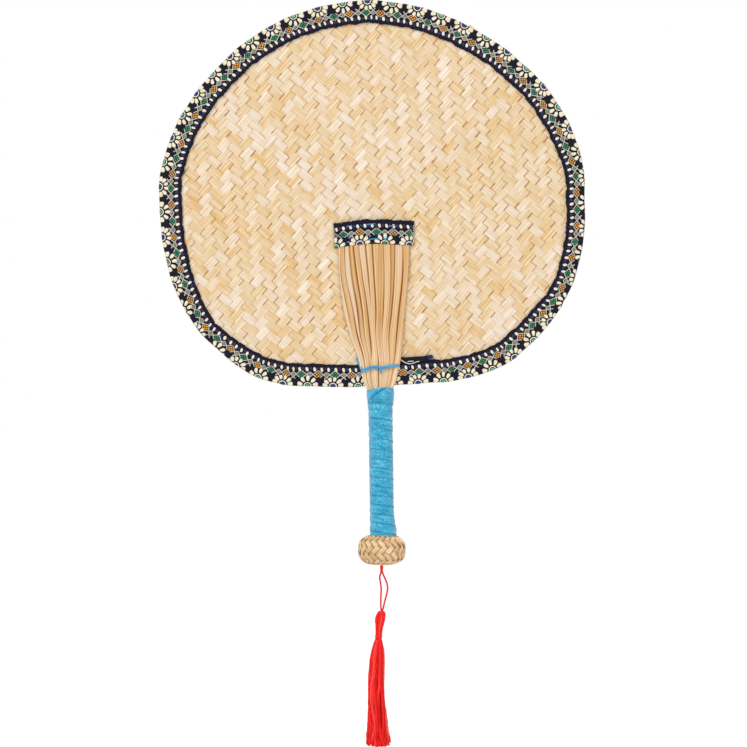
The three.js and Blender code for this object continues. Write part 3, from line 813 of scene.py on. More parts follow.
def sew_edge():
    """The edge ribbon's cloth and its woven patterns."""
    pair = (edge_length - LAST_BLUE_FLOWER - BLUE_FLOWER) / FLOWER_PAIRS
    lozenge_pitch = pair / 3
    dash_pitch = pair / 7
    rows = 520
    travel = travelled(edge_round) / MM
    drawn = np.interp(np.linspace(0, edge_length, rows), travel, np.append(edge_drawn, edge_drawn[0]))
    flat = flat_cloth("edge_flat", edge_length, -LEAF, LEAF, navy_cloth, rows, selvedge_insets(LEAF), drawn)
    cloth = grown("edge_cloth", ribbon_fold, {**FOLD, "Path": edge_path}, navy_cloth, flat)
    dress(smooth(cloth, 50), "fan", "ribbon", "edge_ribbon")

    def sew(name, shapes, finish, back=True, repeats=FLOWER_PAIRS + 3, pitch=pair, start=BLUE_FLOWER):
        flat = raised(name + "_flat", shapes, finish, back)
        sizes = {"Path": edge_path, "Repeats": repeats, "Pitch": pitch * MM, "Start": start * MM}
        piece = grown(name, ribbon_fold, {**FOLD, **sizes}, finish, flat)
        return dress(smooth(piece, 60), "fan", "ribbon")

    blue = 0.0
    green = -pair / 2
    lozenges = [LOZENGE_SHIFT - place * lozenge_pitch for place in range(3)]
    creams = flower(blue, BLUE_PETALS) + flower(green, GREEN_PETALS)
    at_fold = [petal(at, degrees) for at in (blue, green) for degrees in (0, 180)]
    lines = []
    for at in lozenges:
        lines += lattice(at, lozenge_pitch / 2)
    lines += crescent(lozenges[0] + lozenge_pitch / 2) + crescent(lozenges[0] - lozenge_pitch / 2)
    dashes = [2.0 - place * dash_pitch for place in range(7)]
    creams += [bar((at, DASH_INSET), 2.9, 1.9, 105) for at in dashes]
    knots = [lozenge((at + lozenge_pitch / 2, LOZENGE_INSET), 1.4, 1.15) for at in lozenges]
    indigo = [bar((at + dash_pitch / 2, DASH_INSET + 0.6), 2.3, 1.7, 105) for at in dashes]
    orange = BLUE_FLOWER - lozenge_pitch
    every_other = {"repeats": LOZENGE_PAIRS, "pitch": 2 * lozenge_pitch}
    filled = cells(LOZENGE_SHIFT)
    patterns = [
        sew("edge_flowers", creams, cream_thread),
        sew("edge_fold_petals", at_fold, cream_thread, back=False),
        sew("edge_lattice", lines, stone_thread),
        sew("edge_knots", knots, olive_thread),
        sew("edge_dashes", indigo, indigo_thread),
        sew("edge_blue_hearts", [round_outline((blue, 0), HEART_RADIUS)], blue_thread, back=False),
        sew("edge_green_hearts", [round_outline((green, 0), HEART_RADIUS)], mint_thread, back=False),
        sew("edge_orange_lozenges", filled, orange_thread, start=orange, **every_other),
        sew("edge_green_lozenges", filled, green_thread, start=orange - lozenge_pitch, **every_other),
    ]
    bpy.data.objects.remove(edge_path)
    return cloth, patterns


edge_cloth, edge_patterns = sew_edge()


# Ribbon patches over the splint tops, their stitches and the ribbon's loose end

PIXEL = 0.7009  # mm of the object in a pixel of the photo
GRIP_X = 380.75  # pixels, the grip's middle in the photo
GRIP_Y = 461.5


def photo_place(x, y):
    """Place in mm on the object of a pixel of the photo."""
    return (x - GRIP_X) * PIXEL, (GRIP_Y - y) * PIXEL


def photo_places(pixels):
    return [photo_place(x, y) for x, y in pixels]


def splint_front(x):
    """How far the patch stands out from the blade's middle, in mm: over the splints, and less beside them."""
    return 1.25 + 1.25 * step_up(27.2 - abs(x + 4.4), 0.0, 2.6)


PATCH_TOP = 17.2  # mm from the patch's lower edge
PATCH_FLOWER = 17.5  # mm between flowers
PATCH_LEFT = 334.2  # pixels in the photo
PATCH_FIRST_FLOWER = 360.6
PATCH_EDGE = ((PATCH_LEFT, 248.6), (345, 246.6), (360, 244.6), (375, 243.9), (395, 244.6), (414, 245.7))


def patch_fold():
    line = eased(photo_places(PATCH_EDGE), 90)
    return np.array([(x, -splint_front(x) + 0.5, z) for x, z in line]) * MM


def sew_patches():
    points = patch_fold()
    length = line_length(points) / MM
    path = fold_path("patch_path", points, closed=False)
    sizes = {**FOLD, "Path": path, "Face": 0.6 * MM, "Upright": 0.85}
    first = photo_place(PATCH_FIRST_FLOWER, 0)[0] - photo_place(PATCH_LEFT, 0)[0]
    half = PATCH_FLOWER / 3
    dash = PATCH_FLOWER * 2 / 7

    creams = []
    for place in (-1, 0, 1, 2):
        creams += flower(first + place * PATCH_FLOWER, BLUE_PETALS if place % 2 == 0 else GREEN_PETALS)
    lozenges = [first + place * 2 * half for place in (-1, 0, 1, 2, 3)]
    lines = crescent(first + half) + crescent(first - half) + crescent(first + 5 * half)
    for place in lozenges:
        lines += lattice(place, half)
    for end in (0.45, length - 0.45):
        lines += [bar((end, w), 1.0, 0.6, 25 * math.sin(3 * w)) for w in np.arange(1.2, 14.5, 1.15)]
    dashes = [2.2 + place * dash for place in range(11) if 2.2 + place * dash < length - 1.5]
    creams += [bar((place, DASH_INSET + 0.9), 2.8, 1.85, 110) for place in dashes]

    def inside(shapes):
        """Shapes that lie on the cloth, cut off at its ends."""
        cut = [np.column_stack([np.clip(shape[:, 0], 0.1, length - 0.1), shape[:, 1]]) for shape in shapes]
        return [shape for shape in cut if np.ptp(shape[:, 0]) > 0.4]

    def hearts(*places):
        return [round_outline((first + place * PATCH_FLOWER, 0.9), 1.3) for place in places]

    green = cells(lozenges[0]) + cells(lozenges[2]) + cells(lozenges[4]) + hearts(-1, 1)
    knots = [lozenge((place + half, LOZENGE_INSET), 1.25, 1.15) for place in lozenges]
    indigo = [bar((place + dash / 2, DASH_INSET + 1.2), 2.5, 1.6, 110) for place in dashes]
    patterns = {
        "flowers": (creams, cream_thread),
        "lattice": (lines, stone_thread),
        "knots": (knots, olive_thread),
        "dashes": (indigo, indigo_thread),
        "blue_hearts": (hearts(0, 2), blue_thread),
        "orange_lozenges": (cells(lozenges[1]) + cells(lozenges[3]), orange_thread),
        "green_parts": (green, green_thread),
    }
    flat = flat_cloth("patch_flat", length, -1.2, PATCH_TOP, navy_cloth, 60, selvedge_insets(PATCH_TOP))
    cloths = [smooth(grown("front_patch_cloth", ribbon_fold, sizes, navy_cloth, flat), 50)]
    cloths.append(facing_back(cloths[0], "back_patch_cloth"))
    sewn = [[], []]
    for label, (shapes, finish) in patterns.items():
        flat = raised(label + "_flat", inside(shapes), finish, back=False)
        pattern = smooth(grown("front_patch_" + label, ribbon_fold, sizes, finish, flat), 60)
        for face, piece in enumerate((pattern, facing_back(pattern, "back_patch_" + label))):
            sewn[face].append(dress(piece, "fan", "ribbon"))
    for cloth, node, face in zip(cloths, ("front_patch", "back_patch"), sewn):
        dress(cloth, "fan", "ribbon", node)
    bpy.data.objects.remove(path)


sew_patches()


CORD = {"Plies": 2, "Lay": 3.0 * MM, "Ply": 0.5 * MM, "Reach": 0.45 * MM, "Step": 0.35 * MM, "Sides": 7,
        "Tone": 0.5}


def round_section(net, sides, radius):
    """A ring to sweep along a thread, which keeps the angle round it."""
    ring = net.ring(sides, radius)
    x, y, _ = net.position()
    return net.keep(ring, "across", y.math("ARCTAN2", x))


def cord_tree():
    """Winds plies round the lines of a start mesh."""
    net, size = geometry_tree("laid_cord", CORD)
    line = net.geo("MeshToCurve", {"Mesh": size["Geometry"]})
    line = net.geo("ResampleCurve", {"Curve": line, "Length": size["Step"]}, mode="LENGTH")
    line = net.geo("SetCurveNormal", {"Curve": line}, mode="MINIMUM_TWIST")
    copies = net.tree.nodes.new("GeometryNodeDuplicateElements")
    copies.domain = "SPLINE"
    net.put(copies.inputs["Geometry"], line)
    net.put(copies.inputs["Amount"], size["Plies"])
    plies = Field(net, copies.outputs["Geometry"])
    share = Field(net, copies.outputs["Duplicate Index"]) / size["Plies"]
    travel = net.geo("SplineParameter", out="Length")
    plies, ply, along = net.hold(plies, ply=share, along=travel)
    plies = net.keep(plies, "tone", ply * 0.4 + size["Tone"])
    phase = (along / size["Lay"] + ply) * (2 * math.pi)
    normal = net.geo("InputNormal")
    tangent = net.geo("InputTangent")
    cross = net.node("ShaderNodeVectorMath", {}, operation="CROSS_PRODUCT")
    net.tree.links.new(tangent.socket, cross.socket.node.inputs[0])
    net.tree.links.new(normal.socket, cross.socket.node.inputs[1])
    one = net.parts(normal)
    two = net.parts(cross)
    shift = [(a * phase.cos() + b * phase.sin()) * size["Reach"] for a, b in zip(one, two)]
    plies = net.geo("SetPosition", {"Geometry": plies, "Offset": net.vector(*shift)})
    section = round_section(net, size["Sides"], size["Ply"])
    tubes = net.geo("CurveToMesh", {"Curve": plies, "Profile Curve": section, "Fill Caps": True})
    return close_tree(net, tubes, size["Finish"])


laid_cord = cord_tree()


def laid(name, lines, finish, **sizes):
    """A cord laid along lines, with the sizes that differ from the plain cord's."""
    start = polyline(name + "_lines", lines)
    return smooth(grown(name, laid_cord, {**CORD, **sizes}, finish, start), 70)


def yarn_finish(name, *tones, turns=3.0, sheen=0.4, contrast=0.5):
    """Spun yarn: fibres wound along it, and a tone for each ply or thread, which contrast spreads."""
    net = Finish(name, 0.7, specular=0.3, sheen=sheen)
    along, across, tone = net.values("along", "across", "tone")
    wound = (across * turns + along * 5200).sin() * 0.5 + 0.5
    hairs = net.noise(along * 700, across * 2.4, tone * 30, detail=3.0, roughness=0.7)
    patches = net.noise(along * 150, across * 0.3, tone * 30, detail=1.0)
    shade = (tone - 0.5) * contrast + hairs * 0.6 + wound * 0.16 + patches * 0.5 - 0.14
    return net.done(net.ramp(shade.unit(), tones), hairs + wound * 0.5, 0.12 * MM)


sky_yarn = yarn_finish("sky_blue_yarn", (20, 112, 172), (50, 154, 206), (116, 198, 232))
cream_yarn = yarn_finish("cream_yarn", (206, 190, 152), (240, 230, 204), (254, 250, 238))
fray_yarn = yarn_finish("frayed_yarn", (14, 14, 58), (32, 34, 98), (72, 78, 150))

# Hand stitches on the front patch, as the two ends of each in the photo, in pixels
STITCHES = (
    (347, 226.3, 352, 225.8), (366, 224.6, 375, 223.8), (389, 226.4, 395, 225.6),
    (347.6, 236.6, 350.4, 237.6), (347, 242.4, 349.6, 241.8), (367.2, 234.6, 369.8, 235.6),
    (369, 239.4, 378, 238.7), (391.2, 231, 393.9, 235.2), (337.4, 242.2, 339.6, 243.8),
    (383.4, 237.2, 385.2, 240.6), (385.2, 240.6, 386.9, 237.4),
)


def stitch_lines():
    lines = []
    for x1, y1, x2, y2 in STITCHES:
        start = np.array(photo_place(x1, y1))
        end = np.array(photo_place(x2, y2))
        line = []
        for share in np.linspace(0, 1, 9):
            x, z = start + (end - start) * share
            out = splint_front(x) + 0.05 + 0.42 * math.sin(math.pi * share) ** 0.6
            line.append((x * MM, -out * MM, z * MM))
        lines.append(line)
    return lines


front_stitches = laid("front_stitches", stitch_lines(), sky_yarn,
                      Lay=1.6 * MM, Ply=0.24 * MM, Reach=0.18 * MM, Step=0.3 * MM)
dress(front_stitches, "fan", "tie_cord")
dress(facing_back(front_stitches, "back_stitches"), "fan", "tie_cord")


# The ribbon's loose end in the photo, in pixels: its top edge, the tip of its fray and two threads on it.
# The strands are how many the fray has.
LOOSE_TOP = ((429.6, 354.9), (424, 355.9), (416, 356.6), (408, 357.1), (397, 357.3))
FRAY_TIP = (429, 357)
FRAY_STRANDS = 44
HUNG_THREAD = ((401, 359.9), (403.4, 361.6), (406.4, 363.1), (410, 363.7), (413.4, 363), (416.6, 361.8),
               (419.4, 361.3))
SHORT_THREAD = ((407.6, 361.3), (409.8, 361.5), (411.8, 361.1), (413.4, 361.2))


def sew_loose_end():
    """The ribbon's end, folded small and pressed flat above the edge right of the splints."""
    line = eased(photo_places(LOOSE_TOP), 60)
    bulge = 0.5 * np.sin(np.linspace(0, math.pi, 60))
    points = np.column_stack([line[:, 0], -1.5 - bulge, line[:, 1]]) * MM
    length = line_length(points) / MM
    path = fold_path("loose_end_path", points, closed=False)
    sizes = {**FOLD, "Path": path, "Face": 0.62 * MM, "Upright": 0.6}
    flat = flat_cloth("loose_end_flat", length, -3.3, 3.3, navy_cloth, 50, [])
    cloth = smooth(grown("loose_end_cloth", ribbon_fold, sizes, navy_cloth, flat), 50)
    dress(cloth, "fan", "ribbon", "ribbon_end")
    bpy.data.objects.remove(path)

    chance = np.random.default_rng(5)
    lines = []
    tip_x, tip_z = photo_place(*FRAY_TIP)
    for _ in range(FRAY_STRANDS):
        rise = chance.uniform(-1.5, 1.5)
        start = np.array([tip_x - 0.8, -1.9 + chance.uniform(-0.7, 0.6), tip_z + rise])
        way = np.array([1.0, chance.uniform(-0.2, 0.1), chance.uniform(-0.1, 0.15)])
        curl = np.array([0, 0, chance.uniform(-0.5, 0.5)])
        reach = chance.uniform(3.0, 4.0) * (1 - (rise / 1.8) ** 2) ** 0.5
        lines.append([(start + way * reach * s + curl * s * s) * MM for s in np.linspace(0, 1, 7)])
    fray = laid("loose_end_fray", lines, fray_yarn,
                Plies=1, Reach=0.0, Ply=0.26 * MM, Sides=5, Step=0.5 * MM)
    threads = []
    for pixels in (HUNG_THREAD, SHORT_THREAD):
        places = [(x, z, 2.55) for x, z in photo_places(pixels)]
        threads.append(eased(places, 60)[:, (0, 2, 1)] * (MM, -MM, MM))
    loose = laid("loose_end_thread", threads, cream_yarn,
                 Lay=1.6 * MM, Ply=0.21 * MM, Reach=0.14 * MM, Sides=6, Step=0.3 * MM)
    for piece in (fray, loose):
        dress(piece, "fan", "ribbon")
    return [cloth, fray, loose]


edge_patterns + sew_loose_end()


# Splints: laths of split reed that fan out from the grip over both faces of the blade

GRIP_TOP = 51.5  # mm
GRIP_LENGTH = 103
GRIP_SHIFT = -0.8  # sideways, of the splints at the grip
FAN_SHIFT = 4.0  # further to the left up the fan
FAN_LENGTH = 98.8
NECK_HALF = 10.2
FAN_HALF = 24.9
RING_RADIUS = 6.9
RING_HALF_ANGLE = math.radians(73)
SEAM_HEIGHTS = (68, 84.5, 106, 128.5, 150)  # mm

# Seams between laths, left to right:
# share of the fan's width at each height, and how open the seam lies there
LATH_SEAMS = (
    ((0.046, 0.041, 0.067, 0.024, 0.028), (0.0, 0.0, 0.35, 0.3, 0.0)),
    ((0.125, 0.133, 0.154, 0.097, 0.087), (0.35, 0.9, 0.5, 0.25, 0.4)),
    ((0.178, 0.184, 0.229, 0.181, 0.152), (0.0, 0.35, 0.95, 0.5, 0.45)),
    ((0.243, 0.268, 0.303, 0.254, 0.213), (0.4, 0.25, 0.8, 0.85, 0.7)),
    ((0.280, 0.363, 0.390, 0.334, 0.287), (0.1, 0.95, 0.7, 0.5, 0.25)),
    ((0.362, 0.409, 0.450, 0.422, 0.382), (0.0, 0.0, 0.1, 0.8, 0.75)),
    ((0.467, 0.476, 0.529, 0.503, 0.477), (0.7, 0.2, 0.9, 0.8, 0.7)),
    ((0.526, 0.542, 0.579, 0.575, 0.582), (0.0, 0.0, 0.0, 0.2, 0.15)),
    ((0.605, 0.594, 0.650, 0.650, 0.631), (0.0, 0.0, 0.5, 0.3, 0.25)),
    ((0.671, 0.675, 0.748, 0.750, 0.738), (0.0, 0.0, 0.2, 0.4, 0.35)),
    ((0.737, 0.729, 0.788, 0.797, 0.794), (0.15, 0.5, 1.0, 0.7, 0.7)),
    ((0.849, 0.875, 0.908, 0.918, 0.908), (0.3, 0.7, 1.0, 0.8, 0.3)),
)
LATH_TONES = (1.0, 0.42, 1.0, 0.32, 0.5, 0.8, 0.62, 0.5, 0.16, 0.44, 0.28, 0.58, 0.42)


def fan_share(z):
    return np.clip((z - GRIP_TOP) / FAN_LENGTH, 0, 1)


def left_draw(z):
    """Half of how far the tie draws in the fan's left edge at a height, in mm."""
    return 0.45 * bell(z, 75, 10)


def fan_half(z):
    return NECK_HALF + (FAN_HALF - NECK_HALF) * (1 - (1 - fan_share(z)) ** 1.8) - left_draw(z)


def fan_middle(z):
    return GRIP_SHIFT - FAN_SHIFT * step_up(fan_share(z), 0.1, 0.62) + left_draw(z)


def fan_edge(z, side):
    return fan_middle(z) + side * fan_half(z)


def splint_depth(z):
    return 2.35 - 0.9 * step_up(z, 71.5, 83.5)


def handle_lean(z):
    """Sideways lean of the wound grip at a height, in mm."""
    return -0.4 + 1.4 * (GRIP_TOP - z) / GRIP_LENGTH + 0.8 * step_up(-z, 34, 50)


def lath_seam(number, heights):
    """Share of the fan's width and openness of a seam at heights. The first and last are the fan's edges."""
    if number == 0:
        return np.zeros_like(heights), np.zeros_like(heights)
    if number == len(LATH_TONES):
        return np.ones_like(heights), np.zeros_like(heights)
    line = eased(np.column_stack([SEAM_HEIGHTS, *LATH_SEAMS[number - 1]]), 80)
    return np.interp(heights, line[:, 0], line[:, 1]), np.interp(heights, line[:, 0], line[:, 2])


def splint_finish():
    """Split reed of the splints: darker than the weave and lighter at the neck, with long fibres, a painted
    highlight strongest at the neck, painted shade on each lath's right side, and a painted shadow in open
    seams.
    """
    net = Finish("splint_reed", 0.48, specular=0.4)
    along, across, tone = net.values("along", "across", "tone")
    fibres = net.noise(along * 14, across * 7, tone * 90, detail=4.0, roughness=0.7)
    bands = net.noise(along * 7, across * 2.6, tone * 70, detail=1.0)
    patches = net.noise(along * 22, across * 0.8, tone * 50, detail=1.0)
    shade = tone * 0.75 + (fibres - 0.5) * 1.1 + (bands - 0.5) * 1.3 + (patches - 0.5) * 0.5 + 0.14
    tones = (178, 114, 42), (203, 150, 82), (217, 174, 118), (228, 193, 146), (218, 202, 178)
    colour = net.ramp(shade.unit(), tones)
    neck = (1.0 - (along - 58 * MM) / (40 * MM)).unit()
    colour = net.mix(neck * 0.5, colour, paint(250, 217, 174))
    glint = bands.over(0.52, 9) * (neck * 0.75 + 0.2)
    colour = net.mix(glint, colour, paint(255, 236, 212))
    # Painted shade on the right side of each lath.
    right = across.over(0.35, 1.6)
    colour = net.mix(right * 0.45, colour, paint(194, 128, 54))
    # Painted shadow in open seams.
    colour = net.mix(net.value("gap"), colour, paint(150, 74, 8))
    return net.done(colour, fibres, 0.18 * MM)


splint_reed = splint_finish()

# Section of a lath: share of its half width, and mm out from its middle
LATH_TOP = np.array([(-1.0, 0.05), (-0.93, 0.36), (-0.6, 0.5), (-0.2, 0.55),
                     (0.2, 0.55), (0.6, 0.5), (0.93, 0.36), (1.0, 0.05)])
LATH_UNDER = np.array([(1.0, -0.34), (0.98, -0.52), (0.3, -0.55),
                       (-0.3, -0.55), (-0.98, -0.52), (-1.0, -0.34)])


def lath(name, number):
    """One lath from inside the grip to under the patch. Its top is narrower at open seams."""
    chance = np.random.default_rng(20 + number)
    heights = np.concatenate([np.linspace(-50, 38, 7), np.linspace(41.5, 164.5, 60)])
    left, left_gap = lath_seam(number, heights)
    right, right_gap = lath_seam(number + 1, heights)
    roll = chance.uniform(-0.12, 0.12)
    lift = chance.uniform(-0.1, 0.2)
    rings = []
    gaps = []
    for place, z in enumerate(heights):
        flat = float(np.clip((z - 41.5) / 14, 0, 1))
        middle = (left[place] + right[place]) / 2
        angle = (middle - 0.5) * 2 * RING_HALF_ANGLE
        row_x = float(fan_edge(z, -1) + middle * 2 * fan_half(z))
        row_half = (right[place] - left[place]) * float(fan_half(z))
        ring_half = (right[place] - left[place]) * RING_HALF_ANGLE * RING_RADIUS
        ring_x = RING_RADIUS * math.sin(angle) + float(handle_lean(z))
        x = ring_x * (1 - flat) + row_x * flat
        depth = RING_RADIUS * math.cos(angle) * (1 - flat) + (float(splint_depth(z)) + lift) * flat
        turn = angle * (1 - flat) + roll * flat
        half = ring_half * (1 - flat) + row_half * flat
        low = -half + (0.68 * left_gap[place] - 0.12) * flat * (number > 0)
        high = half - (0.68 * right_gap[place] - 0.12) * flat * (number < 12)
        top_across = (low + high) / 2 + LATH_TOP[:, 0] * (high - low) / 2
        across = np.concatenate([top_across, LATH_UNDER[:, 0] * half])
        out = np.concatenate([LATH_TOP[:, 1], LATH_UNDER[:, 1]])
        xs = x + across * math.cos(turn) + out * math.sin(turn)
        ys = -(depth - across * math.sin(turn) + out * math.cos(turn))
        rings.append(np.column_stack([xs, ys, np.full(len(out), z)]))
        # Painted shadow of open seams: a little on the top's edge points, more on the flanges underneath.
        gap = np.zeros(len(out))
        gap[[0, 7]] = 0.35 * left_gap[place], 0.35 * right_gap[place]
        gap[[8, 9]] = min(1.0, 1.3 * right_gap[place])
        gap[[12, 13]] = min(1.0, 1.3 * left_gap[place])
        gaps.append(gap)
    shares = np.concatenate([LATH_TOP[:, 0], LATH_UNDER[:, 0]])
    values = {"along": heights[:, None] * MM, "across": shares, "tone": LATH_TONES[number], "gap": gaps}
    return lofted(name, rings, splint_reed, values, 50)


def lay_splints():
    """Twelve laths on each face. The first is split lengthwise, so it has a second strip at its left."""
    for number in range(13):
        label = f"{max(number, 1):02d}" + ("_split" if number == 0 else "")
        front = lath("front_lath_" + label, number)
        back = facing_back(front, "back_lath_" + label)
        for piece, node in ((front, "front_splint_"), (back, "back_splint_")):
            dress(piece, "fan", "splint_reed", *([node + label] if number else []))


lay_splints()


# Neck tie and handle tape

TIE_EDGE = -0.9  # mm from the splints' edge to the cord's middle
TIE_INSET = {1: 1.4, -1: 0.5}  # mm that the cord's turn lies in from that edge, right and left
TIE_RISE = 0.6  # mm from their face
SPLINT_FACE = 2.9  # mm in front of the blade's middle
TIE_FRONT = -(SPLINT_FACE + 0.95)  # mm, the cord's middle across the front
TIE_LEFT = 63.4  # mm, height of the cord at the left edge
TIE_RIGHT = 67.4  # at the right edge
TIE_EYE = 72.6  # and where it comes through from the back


def tie_turn(z, side, face):
    """Quarter turn of the tie round the splints' outer corner, from beside them to their face."""
    points = []
    for degrees in (0, 45, 90):
        turn = math.radians(degrees)
        x = float(fan_edge(z, side)) + side * (TIE_EDGE * math.cos(turn) - TIE_INSET[side])
        points.append((x, face * (SPLINT_FACE + TIE_RISE * math.sin(turn)), z))
    return points


def tie_line():
    middle = (TIE_LEFT + TIE_RIGHT) / 2
    face = TIE_FRONT
    right_x = float(fan_edge(TIE_RIGHT, 1)) + TIE_EDGE - TIE_INSET[1]
    eye_edge = float(fan_edge(TIE_EYE, -1))
    halfway = (TIE_LEFT + TIE_EYE) / 2
    line = [(0.3, face - 0.5, middle + 0.1), (1.6, face - 0.3, middle + 0.35), (4.4, face, middle + 0.85)]
    line += tie_turn(TIE_RIGHT, 1, -1)[::-1] + [(right_x, 0, TIE_RIGHT)] + tie_turn(TIE_RIGHT, 1, 1)
    line += tie_turn(TIE_EYE, -1, 1)[::-1]
    line += [(eye_edge - TIE_EDGE, 0, TIE_EYE), (eye_edge - 0.3, -1.5, TIE_EYE - 1)]
    line += [(float(fan_edge(halfway, -1)) + 0.1, -1.5, halfway)]
    line += tie_turn(TIE_LEFT, -1, -1)
    line += [(-8.4, face, middle - 0.1), (-4.6, face, middle + 0.75), (-1.7, face - 0.1, middle + 0.55),
             (-0.2, face - 0.4, middle + 0.2), (1.0, face - 0.8, middle + 0.25)]
    return eased(line, 260) * MM


def tie_tail():
    """The end of the tie that hangs from its knot."""
    face = TIE_FRONT
    line = [(-0.5, face - 0.9, 66.6), (-0.3, face - 1.3, 65.6),
            (-0.1, face - 0.9, 63.8), (0.1, face - 0.3, 61.6)]
    return eased(line, 40) * MM


neck_cord = laid("neck_cord", [tie_line()], sky_yarn,
                 Plies=3, Lay=17.0 * MM, Ply=0.62 * MM, Reach=0.52 * MM, Step=0.4 * MM, Sides=9)
dress(neck_cord, "fan", "tie_cord", "neck_tie")
neck_cord_tail = laid("neck_cord_tail", [tie_tail()], sky_yarn,
                      Lay=6.0 * MM, Ply=0.42 * MM, Reach=0.26 * MM, Step=0.4 * MM, Sides=9)
dress(neck_cord_tail, "fan", "tie_cord")

# Heights in the photo of the tape's lower edges at the front, in pixels, from the top down
TAPE_SEAMS = (402.1, 409.6, 417.9, 427.8, 438.2, 449, 458.4, 467.4,
              476.4, 485.6, 494.8, 504, 513.2, 522.4, 531.4, 541)
TAPE_WIDTH = 13.0  # mm
TAPE_TURNS = 15.4
TAPE_RADIUS = 8.2  # mm at the grip's waist
TAPE_MEAN_RADIUS = 8.7  # mm along the whole grip
TAPE_END_ANGLE = math.radians(200)
TAPE_SLANT = 0.253  # of a turn, from the lower to the upper corner of the tape's end
TAPE_TOP = 50.3
TAPE_BOTTOM = -52.4
TAPE_CLOTH = 0.36


def tape_finish():
    """Blue cloth tape: fine plain weave, mottled lighter and darker, with small pills, and painted shade
    along each turn's lower edge, on the turn below it and along the cut end.
    """
    net = Finish("blue_tape_cloth", 0.9, specular=0.2, sheen=0.5)
    along, inset = net.values("along", "inset")
    warp = (along * (2 * math.pi / (0.5 * MM))).sin() * 0.5 + 0.5
    weft = (inset * (2 * math.pi / (0.5 * MM))).sin() * 0.5 + 0.5
    grain = net.noise(along * 620, inset * 620, 0.0, detail=3.0, roughness=0.7)
    patches = net.noise(along * 90, inset * 260, 2.0, detail=3.0, roughness=0.65)
    shade = grain * 1.9 + patches * 1.5 + warp * weft * 0.2 - 1.3
    tones = (12, 130, 184), (44, 170, 212), (82, 194, 224), (164, 226, 240)
    colour = net.ramp(shade.unit(), tones)
    # Painted shade at the tape's edges and under them.
    colour = net.mix(net.value("tuck") * 0.72, colour, paint(4, 92, 140))
    return net.done(colour, grain * 1.3 + warp * weft * 0.8 + patches * 1.2, 0.22 * MM)


tape_cloth = tape_finish()


def wound_tape():
    """One strip wound up the grip. Each turn covers the top of the one below. Its end is cut at a slant."""
    chance = np.random.default_rng(11)
    to_front = 0.75 - TAPE_END_ANGLE / (2 * math.pi)
    turns = np.arange(len(TAPE_SEAMS)) + to_front
    seam_heights = (GRIP_Y - np.array(TAPE_SEAMS)) * PIXEL
    left = np.linspace(TAPE_TURNS, 0, 16 * 96)  # turns left to the tape's end
    insets = np.array([0, 0.03, 0.1, 0.22, 0.36, 0.5, 0.62, 0.75, 0.88, 1.0])
    waves = [(chance.uniform(2, 6), chance.uniform(0, 6), chance.uniform(1, 5)) for _ in range(7)]
    rings = []
    edge_shades = []

    def lower_edge(behind):
        turn = TAPE_END_ANGLE + 2 * np.pi * behind
        base = np.interp(behind, turns, seam_heights)
        base = np.where(behind < to_front, seam_heights[0] + (to_front - behind) * 4.0, base)
        ripple = 0.12 * np.sin(turn * 3 + behind) + 0.1 * np.sin(turn * 7 + 2 * behind)
        return base - 0.85 - 0.85 * np.sin(turn) + ripple

    for place in left:
        slant = TAPE_SLANT * step_up(1.3 - place, 0.0, 1.3)
        behind = place + insets * slant
        turn = TAPE_END_ANGLE + 2 * np.pi * behind
        wanted = lower_edge(behind)
        low = np.clip(wanted, TAPE_BOTTOM + 0.25 * np.sin(turn * 2), None)
        top = TAPE_TOP + 1.7 * np.cos(turn - TAPE_END_ANGLE - 2 * np.pi * TAPE_SLANT)
        pulled = 2.9 * step_up(behind, 0.98, 1.27) * (1 - step_up(behind, 1.45, 1.8))
        width = np.minimum(wanted + TAPE_WIDTH + pulled, top) - low
        z = low + insets * width
        flare = 1.4 * step_up(z, 37, 50) + 0.95 * step_up(-z, 36, 50.5)
        crease = sum(np.sin(a * turn + b + c * z * 0.25) for a, b, c in waves) * 0.035
        crumple = 0.26 * step_up(-z, 36, 48) * np.sin(2 * turn + 0.9 * z + 1.2 * np.sin(turn * 2))
        edge = 0.32 * (1 - insets / 0.5)
        last = 0.4 * (1 - step_up(behind, 0.85, 1.3))
        radius = TAPE_RADIUS + flare + edge + last + crease + crumple
        puff = 0.1 * np.sin(np.pi * np.clip(insets / 0.5, 0, 1))
        outer = radius + puff
        direction = np.column_stack([np.cos(turn), np.sin(turn)])
        lean = np.column_stack([handle_lean(z), np.zeros_like(z)])
        over = np.column_stack([direction * outer[:, None] + lean, z])
        under = np.column_stack([direction * (outer - TAPE_CLOTH)[:, None] + lean, z])
        rings.append(np.concatenate([over, under[::-1]]))
        # Painted shade: on the turn below, just under the next turn's edge and beside the cut; along each
        # turn's own lower edge; and along the cut end.
        above = z - lower_edge(behind - 1)
        past_end = behind - 1 - TAPE_SLANT * np.clip(above / 10.5, 0, 1)
        covered = step_up(above, -1.2, 0.1) * step_up(past_end, -0.02, 0.0)
        hem = step_up(0.3 - insets * TAPE_WIDTH, 0.0, 0.3)
        end = step_up(0.028 - place, 0.0, 0.012)
        tuck = np.maximum(np.maximum(covered * 0.8, hem * 0.4), end)
        edge_shades.append(np.concatenate([tuck, tuck[::-1]]))
    along = (TAPE_TURNS - left[:, None]) * 2 * np.pi * TAPE_MEAN_RADIUS * MM
    inset = np.concatenate([insets, insets[::-1]]) * TAPE_WIDTH * MM
    return lofted("wound_tape", rings, tape_cloth, {"along": along, "inset": inset, "tuck": edge_shades}, 60)


tape = dress(wound_tape(), "fan", "tape_cloth", "handle_tape")


# Pommel: two families of straw strips plaited round a barrel

POMMEL_Z = -61.7  # mm
POMMEL_RADIUS = 16.0
POMMEL_HALF_HEIGHT = 10.4
POMMEL_EXPONENT = 2.8
STRAWS = 20  # each way
STRAW_SLOPE = math.radians(46.7)
STRAW_WAVE = 0.42
STRAW_THICKNESS = 0.5

ROUND = {"Count": STRAWS, "Sideways": 0.8 * MM}


